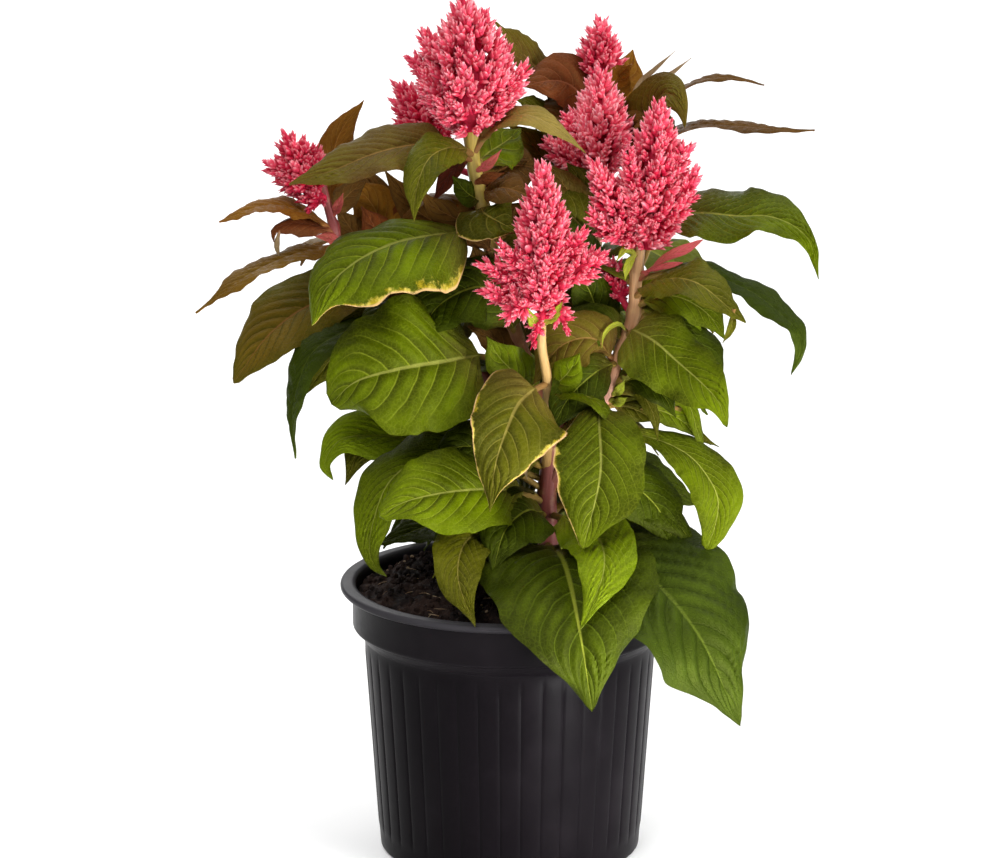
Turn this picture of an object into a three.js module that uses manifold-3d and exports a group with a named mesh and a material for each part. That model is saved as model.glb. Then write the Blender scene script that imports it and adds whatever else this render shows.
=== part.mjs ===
// A plume celosia in a ribbed nursery pot: pot, soil, stems, feathery plumes and leaves.
// Millimetres, +Z up. The origin is the middle of the pot's foot, on the surface that the pot stands on.
import * as THREE from 'three';
import { mergeVertices } from 'three/addons/utils/BufferGeometryUtils.js';
import Module from 'manifold-3d';

const wasm = await Module();
wasm.setup();

// ---------------------------------------------------------------- driving dimensions
const GAP = 0.3; // clearance that touching pieces keep

const POT = {
  height: 98,
  wall: 1.2,
  footRadius: 46.3,
  footWidth: 3,
  footHeight: 3,
  footChamfer: 1.5,
  bodyTopRadius: 51.6,
  bodyTopHeight: 77,
  collarRadius: 55.8,
  collarHeight: 84,
  collarRound: 1.4,
  lipRadius: 60,
  lipThickness: 3,
  lipRound: 1,
  ribCount: 42,
  ribDepth: 0.5,
  ribBottom: 9,
  ribTop: 74,
  ribFade: 2, // length over which a rib runs out at each end
};
const DRAIN = { count: 3, width: 14, height: 9, depth: 12, firstAzimuth: 20 };
const SOIL = {
  edgeHeight: 93,
  shoulderRadius: 42,
  shoulderHeight: 99,
  crownHeight: 102,
  lump: 0.9, // height of the unevenness of its top
  lumpSpacing: 33,
  sides: 30,
};

const STEM_SIDES = 8;
const STALK_RADIUS = 1.3;
const PETIOLE = { halfWidth: 1.2, thickness: 2 };
const BLADE = { thickness: 1.2, steps: [0.12, 0.27, 0.42, 0.57, 0.72, 0.87] };
const TIP_HALF_WIDTH = 0.35;

// How wide a plume is at each share of its height, and how far every second side is drawn in.
const PLUME_PROFILE = [[0, 0.45], [0.12, 0.8], [0.28, 1], [0.5, 0.86], [0.7, 0.6], [0.87, 0.3], [1, 0.05]];
const PLUME_SIDES = 10;
const PLUME_HOLLOW = 0.86;

// ---------------------------------------------------------------- stems
// Each stem is a list of points on its axis, with its radius at the bottom and at the top.
const STEMS = {
  main: {
    path: [[15, 0, 72], [14, 0, 100], [13, 0, 127], [14, 1, 146], [7, 6, 169], [-4, 6, 205],
      [-10, 4, 234], [-13, 2, 250], [-13, 0, 268]],
    radii: [4, 2.3],
  },
  right: {
    path: [[14, 0, 132], [24, -3, 150], [33, -5, 165], [38, -4, 180], [43, 0, 193], [44, 0, 206],
      [46, 0, 228]],
    radii: [2.6, 2.1],
  },
  front: {
    path: [[13, 0, 138], [13, -8, 157], [13, -15, 174], [11, -21, 188], [11, -23, 199]],
    radii: [2, 1.5],
  },
  left: {
    path: [[13, 1, 141], [0, 4, 160], [-20, 6, 183], [-40, 6, 203], [-58, 4, 216], [-62, 2, 227],
      [-66, 0, 243]],
    radii: [2.1, 1.5],
  },
  middle: {
    path: [[14, 1, 143], [22, 13, 166], [27, 19, 186], [31, 25, 216], [31, 25, 247]],
    radii: [2.1, 1.6],
  },
  back: {
    path: [[13, 1, 124], [18, 18, 150], [23, 33, 190], [29, 45, 240], [32, 46, 276]],
    radii: [2.2, 1.6],
  },
};

// ---------------------------------------------------------------- plumes
// A plume is one or more cones, each from its foot to its tip with its widest radius. A side plume has a stalk
// of its own, which starts at the axis of the stem that carries it.
const PLUMES = {
  plume_tall: { on: 'main', cones: [{ from: [-13, 0, 261], to: [-17, -1, 306], radius: 19.5 }] },
  plume_tall_side: {
    on: 'main',
    stalk: [[-12, 3, 243], [-20, 12, 245], [-26, 19, 251]],
    cones: [{ from: [-25, 18, 248], to: [-39, 27, 272], radius: 9.5 }],
  },
  plume_front: {
    on: 'front',
    cones: [
      { from: [11, -22, 188], to: [11, -25, 252], radius: 14 },
      { from: [9, -22, 200], to: [-12, -25, 212], radius: 8.5 },
      { from: [12, -24, 203], to: [34, -27, 221], radius: 7 },
    ],
  },
  plume_middle: {
    on: 'middle',
    cones: [
      { from: [31, 25, 236], to: [32, 26, 276], radius: 13.5 },
      { from: [30, 24, 238], to: [13, 20, 250], radius: 7.5 },
    ],
  },
  plume_back: { on: 'back', cones: [{ from: [32, 46, 266], to: [32, 46, 292], radius: 8.5 }] },
  plume_right: {
    on: 'right',
    cones: [
      { from: [46, 0, 217], to: [52, -1, 268], radius: 13.5 },
      { from: [44, -3, 217], to: [30, -6, 247], radius: 10 },
    ],
  },
  plume_inner: {
    on: 'right',
    stalk: [[43, 0, 193], [41, 3, 196], [38, 6, 201]],
    cones: [{ from: [39, 5, 198], to: [32, 13, 213], radius: 5.5 }],
  },
  plume_left: {
    on: 'left',
    cones: [
      { from: [-66, 0, 236], to: [-77, -1, 259], radius: 9.5 },
      { from: [-68, 0, 240], to: [-85, -2, 248], radius: 6.5 },
      { from: [-65, 0, 238], to: [-77, -3, 238], radius: 4.5 },
    ],
  },
};

// ---------------------------------------------------------------- leaves
// Leaves are listed by the stem that carries them. path runs from the stem's axis along the midrib to the
// tip, width is the blade's full width, and face is the way its upper side looks. fold lifts the two halves
// by that many degrees, and petiole is the share of the path that is bare stalk. outline holds the two powers
// that shape the blade: how its width rises from the base and how it falls to the tip.
const OVATE = [0.62, 1.02];
const ROUND = [0.5, 0.62];
const EVEN = [0.8, 0.8];
const HEART = [0.32, 1.2];
const BROAD = [0.22, 0.8];
const LATE = [1.2, 0.6];
const LEAVES = {
  left: [
    { path: [[-61, 2, 223], [-72, -1, 231], [-84, -4, 234], [-101, -8, 229]], width: 17, face: [0, -0.15, 1] },
    { path: [[-59, 3, 218], [-73, -8, 218], [-90, -14, 212], [-109, -18, 199]], width: 17, face: [0, -0.1, 1] },
    { path: [[-62, 3, 226], [-63, 13, 240], [-60, 15, 255], [-51, 13, 268]], width: 14,
      face: [0.4, -0.9, 0.2] },
    { path: [[-36, 6, 200], [-67, 8, 197], [-84, 3, 187], [-97, -2, 170]], width: 31, outline: EVEN,
      face: [-0.3, -0.6, 0.7] },
    { path: [[-24, 6, 187], [-49, -1, 191], [-59, -6, 189], [-69, -10, 183], [-74, -13, 172], [-76, -14, 160],
      [-75, -15, 146]], width: 16, face: [-0.6, -0.5, 0.6] },
    { path: [[-44, 6, 206], [-47, 14, 228], [-57, 16, 240]], width: 20, face: [-0.2, -0.9, 0.4] },
    { path: [[-30, 6, 194], [-38, 28, 204], [-48, 46, 192], [-52, 56, 174]], width: 30,
      face: [-0.2, 0.5, 0.85] },
  ],
  main: [
    { path: [[-13, 1, 249], [-28, -6, 256], [-38, -11, 256], [-48, -15, 254], [-59, -18, 250],
      [-69, -20, 247], [-76, -21, 245]], width: 25, face: [0, -0.5, 0.85] },
    { path: [[-13, 1, 251], [-20, -11, 256], [-28, -22, 254], [-32, -28, 245], [-33, -30, 234]],
      width: 16, face: [-0.2, -0.8, 0.5] },
    { path: [[-9, 4, 224], [-28, -13, 225], [-41, -22, 224], [-54, -30, 219], [-64, -35, 210], [-68, -37, 199]],
      width: 44, face: [0, -0.45, 0.9], fold: -20 },
    { path: [[-12, 2, 247], [-8, 8, 250], [-2, 13, 253], [4, 18, 257]], width: 20, face: [0, -0.8, 0.6] },
    { path: [[-10, 4, 231], [-8, -6, 231], [2, -9, 226]], width: 24, face: [-0.2, -0.6, 0.8] },
    { path: [[6, 5, 172], [-9, -4, 180], [-24, -16, 181], [-40, -24, 180], [-54, -26, 176], [-62, -24, 168]],
      width: 49, face: [-0.1, -0.9, 0.45], outline: ROUND, petiole: 0.27 },
    { path: [[13, 0, 134], [-14, 3, 143], [-32, 2, 148], [-48, -1, 151], [-60, -5, 150], [-65, -8, 142],
      [-62, -10, 137]], width: 30, face: [-0.1, -0.6, 0.8] },
    { path: [[13, 0, 130], [-14, -8, 148], [-31, -18, 147], [-42, -24, 140], [-47, -27, 129], [-49, -30, 118],
      [-47, -33, 112], [-43, -38, 110]], width: 26, face: [-0.3, -0.6, 0.7] },
    { path: [[13, 0, 126], [2, -12, 133], [-11, -27, 138], [-25, -36, 139], [-37, -41, 137], [-45, -44, 133]],
      width: 33, face: [0, -0.8, 0.6], outline: ROUND, petiole: 0.2 },
    { path: [[13, 0, 120], [-21, -2, 120], [-48, -6, 112]], width: 24, face: [-0.1, -0.4, 0.9] },
    { path: [[13, 0, 116], [-14, -32, 122], [-18, -50, 113], [-12, -63, 99]],
      width: 19, face: [0, -0.8, 0.6], petiole: 0.35 },
    { path: [[13, 0, 111], [19, -38, 114], [24, -68, 97], [28, -74, 72]], width: 60, face: [0.05, -0.6, 0.8] },
    { path: [[14, 0, 122], [30, -36, 124], [32, -58, 117], [24, -73, 101]], width: 25, face: [0, -0.7, 0.7] },
    { path: [[14, 0, 105], [42, -22, 109], [64, -42, 92], [80, -46, 58]], width: 62, face: [0.4, -0.6, 0.6] },
    { path: [[13, 1, 131], [30, 8, 136], [45, 12, 134], [56, 16, 127], [70, 20, 119]], width: 28,
      face: [0.1, -0.5, 0.9] },
    { path: [[12, 2, 122], [-8, 30, 128], [-28, 52, 116], [-36, 64, 96]], width: 34, face: [-0.2, 0.5, 0.85] },
    { path: [[13, 3, 116], [16, 38, 118], [20, 62, 104], [22, 76, 80]], width: 46, face: [0, 0.6, 0.8] },
    { path: [[14, 3, 109], [40, 26, 114], [58, 44, 101], [66, 54, 76]], width: 40, face: [0.4, 0.4, 0.8] },
  ],
  right: [
    { path: [[45, 1, 210], [55, 16, 225], [66, 12, 228], [80, 3, 229], [90, -3, 230], [99, -8, 227],
      [104, -11, 222], [107, -14, 210]], width: 30, face: [0, -0.5, 0.85], outline: HEART, petiole: 0.28 },
    { path: [[44, 1, 207], [67, 0, 210], [77, 0, 206], [86, -2, 202], [94, -5, 196], [100, -8, 190],
      [101, -10, 183], [98, -11, 175]], width: 17, face: [0.3, -0.3, 0.9] },
    { path: [[44, -1, 201], [52, -12, 209], [64, -24, 211], [81, -33, 199]], width: 24, face: [0, -0.4, 0.9] },
    { path: [[43, 0, 194], [58, 6, 199], [72, 10, 191]], width: 24, face: [0.2, -0.4, 0.9] },
    { path: [[41, -2, 187], [44, -9, 190], [50, -14, 188], [58, -19, 182], [66, -25, 176], [72, -30, 170],
      [75, -33, 162]], width: 29, face: [0.1, -0.8, 0.6], outline: BROAD, petiole: 0.12 },
    { path: [[33, -5, 163], [31, -22, 163], [31, -42, 147], [25, -53, 124]],
      width: 32, face: [0, -0.85, 0.5], outline: EVEN },
    { path: [[26, -4, 151], [46, -1, 151], [62, -4, 145], [69, -7, 138], [73, -10, 130], [72, -13, 121],
      [69, -15, 113]],
      width: 19, face: [0.2, -0.7, 0.6], outline: LATE },
    { path: [[37, -4, 177], [54, 14, 188], [67, 26, 180], [75, 34, 164]], width: 28, face: [0.3, 0.2, 0.9] },
  ],
  front: [
    { path: [[13, -15, 173], [8, -21, 172], [3, -27, 169], [-1, -34, 162], [-5, -41, 151], [-7, -49, 136]],
      width: 34, face: [0.1, -0.85, 0.5], outline: HEART },
  ],
  middle: [
    { path: [[31, 25, 225], [45, 36, 237], [55, 38, 249], [66, 33, 255], [80, 27, 256], [95, 20, 256],
      [107, 20, 256]], width: 17, face: [0, -0.1, 1] },
    { path: [[27, 19, 188], [14, 15, 201], [-4, 14, 206]], width: 28, face: [0, -0.7, 0.7] },
  ],
  back: [
    { path: [[31, 46, 256], [20, 47, 264], [7, 42, 277], [-5, 34, 292]], width: 23, face: [0, -0.5, 0.85] },
    { path: [[31, 46, 254], [36, 51, 260], [41, 55, 269], [44, 58, 278]], width: 19,
      face: [0, -0.8, 0.6] },
    { path: [[28, 43, 234], [18, 36, 250], [8, 28, 262], [2, 22, 267]], width: 22, face: [0, -0.6, 0.8] },
    { path: [[29, 45, 240], [41, 38, 245], [48, 30, 255], [51, 25, 264], [54, 20, 269], [57, 15, 269],
      [60, 11, 265], [61, 8, 259]], width: 21, face: [-0.3, -0.9, 0.3] },
    { path: [[29, 44, 231], [46, 46, 250], [53, 46, 260], [61, 45, 266], [69, 42, 270], [79, 39, 271],
      [90, 37, 269]], width: 12, face: [0, -0.1, 1] },
    { path: [[21, 28, 176], [-4, 44, 186], [-24, 54, 176], [-34, 58, 156]], width: 36, face: [-0.2, 0.6, 0.8] },
    { path: [[24, 36, 200], [46, 52, 208], [62, 60, 196], [70, 64, 176]], width: 34, face: [0.3, 0.5, 0.8] },
    { path: [[27, 40, 218], [22, 58, 226], [17, 70, 212], [15, 75, 192]], width: 30, face: [0, 0.6, 0.8] },
  ],
};

// ---------------------------------------------------------------- materials
function finish(color, roughness) {
  return new THREE.MeshStandardMaterial({ color, roughness, metalness: 0 });
}
const MATERIALS = {
  pot: finish(0x2a272b, 0.45),
  soil: finish(0x2b1c17, 0.95),
  stem: finish(0x9a6b45, 0.6),
  plume: finish(0xe0506a, 0.8),
  leaf: finish(0x4f6b12, 0.5),
};

// ---------------------------------------------------------------- solids
function toSolid(geometry) {
  const bare = geometry.clone();
  bare.deleteAttribute('normal');
  bare.deleteAttribute('uv');
  const merged = mergeVertices(bare, 1e-4);
  return new wasm.Manifold(new wasm.Mesh({
    numProp: 3,
    vertProperties: Float32Array.from(merged.attributes.position.array),
    triVerts: Uint32Array.from(merged.index.array),
  }));
}

function toGeometry(solid) {
  const { vertProperties, triVerts } = solid.getMesh();
  const geometry = new THREE.BufferGeometry();
  geometry.setAttribute('position', new THREE.BufferAttribute(vertProperties, 3));
  geometry.setIndex(new THREE.BufferAttribute(triVerts, 1));
  geometry.computeVertexNormals();
  return geometry;
}

function largestPart(solid) {
  return solid.decompose().reduce((best, part) => (part.volume() > best.volume() ? part : best));
}

// Skins a row of closed rings, each a list of points in the same order, and closes both ends. On a thin
// blade the second half of each ring is the underside. Its faces are split along the upper side's diagonals,
// so that the two sides stay parallel where the blade twists.
function loft(rings, isThin = false) {
  const count = rings[0].length;
  const position = rings.flat().flatMap((point) => point.toArray());
  const index = [];
  for (let ring = 0; ring < rings.length - 1; ring += 1) {
    for (let k = 0; k < count; k += 1) {
      const a = ring * count + k;
      const b = ring * count + ((k + 1) % count);
      if (isThin && k >= count / 2) {
        index.push(a, b, a + count, b, b + count, a + count);
      } else {
        index.push(a, b, b + count, a, b + count, a + count);
      }
    }
  }
  const last = (rings.length - 1) * count;
  for (let k = 1; k < count - 1; k += 1) {
    index.push(0, k + 1, k);
    index.push(last, last + k, last + k + 1);
  }
  const geometry = new THREE.BufferGeometry();
  geometry.setAttribute('position', new THREE.Float32BufferAttribute(position, 3));
  geometry.setIndex(index);
  return geometry;
}

function curveThrough(path) {
  return new THREE.CatmullRomCurve3(path.map((point) => new THREE.Vector3(...point)), false, 'centripetal');
}

// ---------------------------------------------------------------- pot
// The outline in [radius, height] pairs: from the middle of the underside up the outside, then down the inside.
function potProfile() {
  const { height, wall, footRadius, footHeight, footWidth, footChamfer } = POT;
  const { bodyTopRadius, bodyTopHeight, ribBottom, ribTop, ribFade } = POT;
  const { collarRadius, collarHeight, collarRound, lipRadius, lipThickness, lipRound } = POT;
  const taper = (bodyTopRadius - footRadius) / (bodyTopHeight - footChamfer);
  const onBody = (z) => [footRadius + taper * (z - footChamfer), z];
  return [
    [0, footHeight],
    [footRadius - footChamfer - footWidth, footHeight],
    [footRadius - footChamfer - footWidth, 0],
    [footRadius - footChamfer, 0],
    [footRadius, footChamfer],
    ...[ribBottom - ribFade, ribBottom, ribTop, ribTop + ribFade].map(onBody),
    [bodyTopRadius, bodyTopHeight],
    [collarRadius - collarRound / 2, collarHeight - collarRound],
    [collarRadius, collarHeight],
    [collarRadius, height - lipThickness],
    [lipRadius, height - lipThickness],
    [lipRadius, height - lipRound],
    [lipRadius - lipRound, height],
    [collarRadius - wall, height],
    [collarRadius - wall, collarHeight],
    [bodyTopRadius - wall, bodyTopHeight],
    [footRadius - wall, footHeight + 2 * wall],
    [footRadius - 2 * wall, footHeight + wall],
    [0, footHeight + wall],
  ].map(([radius, z]) => new THREE.Vector2(radius, z));
}

// Every second point of the turned wall moves out by the depth of a rib.
function ribbedPot() {
  const geometry = new THREE.LatheGeometry(potProfile(), POT.ribCount * 2);
  geometry.rotateX(Math.PI / 2);
  const position = geometry.attributes.position;
  const step = Math.PI / POT.ribCount;
  const slack = 1e-3;
  for (let i = 0; i < position.count; i += 1) {
    const [x, y, z] = [position.getX(i), position.getY(i), position.getZ(i)];
    const radius = Math.hypot(x, y);
    const onRibs = z > POT.ribBottom - slack && z < POT.ribTop + slack && radius > POT.footRadius;
    if (onRibs && Math.round(Math.atan2(y, x) / step) % 2 !== 0) {
      const grown = 1 + POT.ribDepth / radius;
      position.setXY(i, x * grown, y * grown);
    }
  }
  return geometry;
}

// An arched cutter through the foot and the lowest part of the wall.
function drainCutter(azimuth) {
  const arch = new THREE.Shape();
  const half = DRAIN.width / 2;
  const belowFoot = -1;
  arch.moveTo(-half, belowFoot);
  arch.lineTo(half, belowFoot);
  arch.lineTo(half, DRAIN.height - half);
  arch.absarc(0, DRAIN.height - half, half, 0, Math.PI, false);
  arch.closePath();
  const options = { depth: DRAIN.depth, bevelEnabled: false, curveSegments: 8 };
  const geometry = new THREE.ExtrudeGeometry(arch, options);
  geometry.rotateX(Math.PI / 2);
  geometry.translate(0, DRAIN.depth / 2 - POT.footRadius, 0);
  geometry.rotateZ(THREE.MathUtils.degToRad(azimuth));
  return toSolid(geometry);
}

function potSolid() {
  let pot = toSolid(ribbedPot());
  for (let k = 0; k < DRAIN.count; k += 1) {
    pot = pot.subtract(drainCutter(DRAIN.firstAzimuth + (360 / DRAIN.count) * k));
  }
  return pot;
}

// ---------------------------------------------------------------- soil
// The soil fills the pot up to just under the lip, rises in a low dome, and has a socket for the stem.
function soilSolid(stemSocket) {
  const inset = POT.wall + 2 * GAP;
  const floor = POT.footHeight + POT.wall + GAP;
  const profile = [
    [0, floor],
    [POT.footRadius - inset - 2 * POT.wall, floor],
    [POT.footRadius - inset, floor + 2 * POT.wall],
    [POT.bodyTopRadius - inset, POT.bodyTopHeight],
    [POT.collarRadius - inset, POT.collarHeight + GAP],
    [POT.collarRadius - inset, SOIL.edgeHeight],
    [(POT.collarRadius + SOIL.shoulderRadius) / 2, (SOIL.edgeHeight + SOIL.shoulderHeight) / 2 + SOIL.lump],
    [SOIL.shoulderRadius, SOIL.shoulderHeight],
    [SOIL.shoulderRadius / 2, SOIL.crownHeight - SOIL.lump],
    [0, SOIL.crownHeight],
  ].map(([radius, z]) => new THREE.Vector2(radius, z));
  const geometry = new THREE.LatheGeometry(profile, SOIL.sides);
  geometry.rotateX(Math.PI / 2);
  const position = geometry.attributes.position;
  const wave = (2 * Math.PI) / SOIL.lumpSpacing;
  for (let i = 0; i < position.count; i += 1) {
    const [x, y, z] = [position.getX(i), position.getY(i), position.getZ(i)];
    if (z > SOIL.edgeHeight - GAP) {
      position.setZ(i, z + SOIL.lump * Math.sin(wave * x + 1) * Math.cos(wave * y));
    }
  }
  return toSolid(geometry).subtract(stemSocket);
}

// ---------------------------------------------------------------- stems
// A tapering tube. extra widens it, to cut the socket that a neighbour needs.
function stemSolid({ path, radii }, extra = 0) {
  const curve = curveThrough(path);
  const steps = (path.length - 1) * 2;
  const frames = curve.computeFrenetFrames(steps);
  const rings = [];
  for (let i = 0; i <= steps; i += 1) {
    const centre = curve.getPointAt(i / steps);
    const radius = THREE.MathUtils.lerp(radii[0], radii[1], i / steps) + extra;
    const ring = [];
    for (let k = 0; k < STEM_SIDES; k += 1) {
      const angle = (k / STEM_SIDES) * 2 * Math.PI;
      ring.push(centre.clone()
        .addScaledVector(frames.normals[i], radius * Math.cos(angle))
        .addScaledVector(frames.binormals[i], radius * Math.sin(angle)));
    }
    rings.push(ring);
  }
  return toSolid(loft(rings));
}

// ---------------------------------------------------------------- plumes
// A bumpy cone: full and rounded near its foot, pointed at its tip.
function coneSolid({ from, to, radius }) {
  const foot = new THREE.Vector3(...from);
  const axis = new THREE.Vector3(...to).sub(foot);
  const turn = new THREE.Quaternion().setFromUnitVectors(new THREE.Vector3(0, 0, 1), axis.clone().normalize());
  const rings = PLUME_PROFILE.map(([t, share], row) => {
    const ring = [];
    for (let k = 0; k < PLUME_SIDES; k += 1) {
      const angle = ((k + (row % 2) / 2) / PLUME_SIDES) * 2 * Math.PI;
      const reach = radius * share * (k % 2 ? PLUME_HOLLOW : 1);
      ring.push(new THREE.Vector3(reach * Math.cos(angle), reach * Math.sin(angle), 0)
        .applyQuaternion(turn).add(foot).addScaledVector(axis, t));
    }
    return ring;
  });
  return toSolid(loft(rings));
}

function plumeSolid({ cones, stalk }) {
  const plume = cones.map(coneSolid).reduce((whole, cone) => whole.add(cone));
  return stalk ? plume.add(stemSolid({ path: stalk, radii: [STALK_RADIUS, STALK_RADIUS] })) : plume;
}

// ---------------------------------------------------------------- leaves
// The width rises from the petiole to its widest place and falls to the tip.
function bladeHalfWidth(share, width, [rise, fall]) {
  const profile = (s) => s ** rise * (1 - s) ** fall;
  return (width / 2) * (profile(share) / profile(rise / (rise + fall)));
}

// One section of a leaf: edge, top of the midrib, other edge, underside of the midrib.
function leafSection(centre, along, face, halfWidth, thickness, lift) {
  const side = new THREE.Vector3().crossVectors(along, face).normalize();
  const up = new THREE.Vector3().crossVectors(side, along).normalize();
  const at = (across, above) => centre.clone()
    .addScaledVector(side, across * halfWidth)
    .addScaledVector(up, above + Math.abs(across) * halfWidth * lift);
  return [at(-1, 0), at(0, thickness / 2), at(1, 0), at(0, -thickness / 2)];
}

function leafSolid({ path, width, face, outline = OVATE, fold = 8, petiole = 0.13 }) {
  const midrib = curveThrough(path);
  const look = new THREE.Vector3(...face).normalize();
  const lift = Math.tan(THREE.MathUtils.degToRad(fold));
  const section = (t, halfWidth, thickness) => (
    leafSection(midrib.getPointAt(t), midrib.getTangentAt(t), look, halfWidth, thickness, lift));
  const rings = [
    section(0, PETIOLE.halfWidth, PETIOLE.thickness),
    section(petiole, PETIOLE.halfWidth, PETIOLE.thickness),
    ...BLADE.steps.map((share) => (
      section(petiole + (1 - petiole) * share, bladeHalfWidth(share, width, outline), BLADE.thickness))),
    section(1, TIP_HALF_WIDTH, BLADE.thickness / 2),
  ];
  return toSolid(loft(rings, true));
}

// ---------------------------------------------------------------- assembly
const plant = new THREE.Group();

function addPiece(name, solid, material) {
  const mesh = new THREE.Mesh(toGeometry(solid), material);
  mesh.name = name;
  plant.add(mesh);
}

// Each stem, widened by the gap, cuts what it carries, so that a petiole or a plume sits close against it.
const sockets = Object.fromEntries(
  Object.entries(STEMS).map(([name, stem]) => [name, stemSolid(stem, GAP)]),
);

addPiece('pot', potSolid(), MATERIALS.pot);
addPiece('soil', soilSolid(sockets.main), MATERIALS.soil);

for (const [name, stem] of Object.entries(STEMS)) {
  const solid = stemSolid(stem);
  const seated = name === 'main' ? solid : largestPart(solid.subtract(sockets.main));
  addPiece(`stem_${name}`, seated, MATERIALS.stem);
}

for (const [name, plume] of Object.entries(PLUMES)) {
  addPiece(name, largestPart(plumeSolid(plume).subtract(sockets[plume.on])), MATERIALS.plume);
}

for (const [stem, leaves] of Object.entries(LEAVES)) {
  leaves.forEach((leaf, i) => {
    addPiece(`leaf_${stem}_${i + 1}`, largestPart(leafSolid(leaf).subtract(sockets[stem])), MATERIALS.leaf);
  });
}

export default plant;
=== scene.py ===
"""A plume celosia in a black ribbed nursery pot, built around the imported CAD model.

Places and sizes are in millimetres, in the CAD model's frame, and become metres when a mesh is made.
Each CAD node is replaced by a fine piece of the same name with _fine after it.
"""
import math
from functools import lru_cache
from types import SimpleNamespace

import bpy
import numpy as np
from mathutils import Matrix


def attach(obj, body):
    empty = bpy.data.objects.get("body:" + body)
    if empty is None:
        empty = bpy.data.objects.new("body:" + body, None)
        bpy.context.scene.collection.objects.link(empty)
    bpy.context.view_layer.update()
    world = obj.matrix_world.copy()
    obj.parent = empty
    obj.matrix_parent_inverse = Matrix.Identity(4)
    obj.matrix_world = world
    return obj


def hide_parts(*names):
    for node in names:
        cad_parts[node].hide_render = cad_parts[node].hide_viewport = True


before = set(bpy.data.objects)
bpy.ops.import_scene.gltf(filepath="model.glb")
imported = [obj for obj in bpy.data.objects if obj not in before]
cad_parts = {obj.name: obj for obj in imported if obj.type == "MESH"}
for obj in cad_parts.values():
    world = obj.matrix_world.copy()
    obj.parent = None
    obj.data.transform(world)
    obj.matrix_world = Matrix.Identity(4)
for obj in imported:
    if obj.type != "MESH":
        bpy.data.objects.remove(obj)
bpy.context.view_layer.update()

MM = 0.001
rng = np.random.default_rng(7)

# ---------------------------------------------------------------- sizes that part.mjs drives
POT = SimpleNamespace(
    height=98, wall=1.2, foot_radius=46.3, foot_width=3, foot_height=3, foot_round=1.5,
    body_top_radius=51.6, body_top=77, step_round=1.2, collar_radius=55.8, collar_height=84,
    collar_round=1.6, lip_radius=60, lip_thickness=3, lip_round=1.35, ribs=42, rib_depth=0.4,
)
DRAIN = SimpleNamespace(count=3, width=14, height=9, first_azimuth=20)
SOIL = SimpleNamespace(edge_height=92.5, shoulder_radius=42, shoulder_height=98, crown_height=101)
GAP = 0.3  # between the soil and the pot's wall

# A stem's radii are those of its foot and its top. A knot is a share of its length and how far it swells.
STEMS = {
    "main": dict(
        path=[(15, 0, 72), (14, 0, 100), (13, 0, 127), (14, 1, 146), (7, 6, 169), (-4, 6, 205),
              (-10, 4, 234), (-13, 2, 250), (-13, 0, 268)],
        radii=(4, 2.3), colors="red_to_straw", knots=[(0.37, 0.45), (0.52, 0.2), (0.8, 0.2), (0.95, 0.35)],
    ),
    "right": dict(
        path=[(14, 0, 132), (24, -3, 150), (33, -5, 165), (38, -4, 180), (43, 0, 193), (44, 0, 206),
              (46, 0, 228)],
        radii=(2.6, 2.1), colors="pink_to_tan", knots=[(0.32, 0.4), (0.68, 0.2), (0.82, 0.2)],
    ),
    "front": dict(
        path=[(13, 0, 138), (13, -8, 157), (13, -15, 174), (11, -21, 188), (11, -23, 199)],
        radii=(2, 1.5), colors="tan", knots=[(0.55, 0.25)],
    ),
    "left": dict(
        path=[(13, 1, 141), (0, 4, 160), (-20, 6, 183), (-40, 6, 203), (-58, 4, 216), (-62, 2, 227),
              (-66, 0, 243)],
        radii=(2.1, 1.5), colors="red", knots=[(0.78, 0.3), (0.86, 0.35)],
    ),
    "middle": dict(
        path=[(14, 1, 143), (22, 13, 166), (27, 19, 186), (31, 25, 216), (31, 25, 247)],
        radii=(2.1, 1.6), colors="pink_to_tan", knots=[(0.5, 0.2)],
    ),
    "back": dict(
        path=[(13, 1, 124), (18, 18, 150), (23, 33, 190), (29, 45, 240), (32, 46, 276)],
        radii=(2.2, 1.6), colors="red", knots=[(0.6, 0.2), (0.8, 0.2)],
    ),
}

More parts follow.
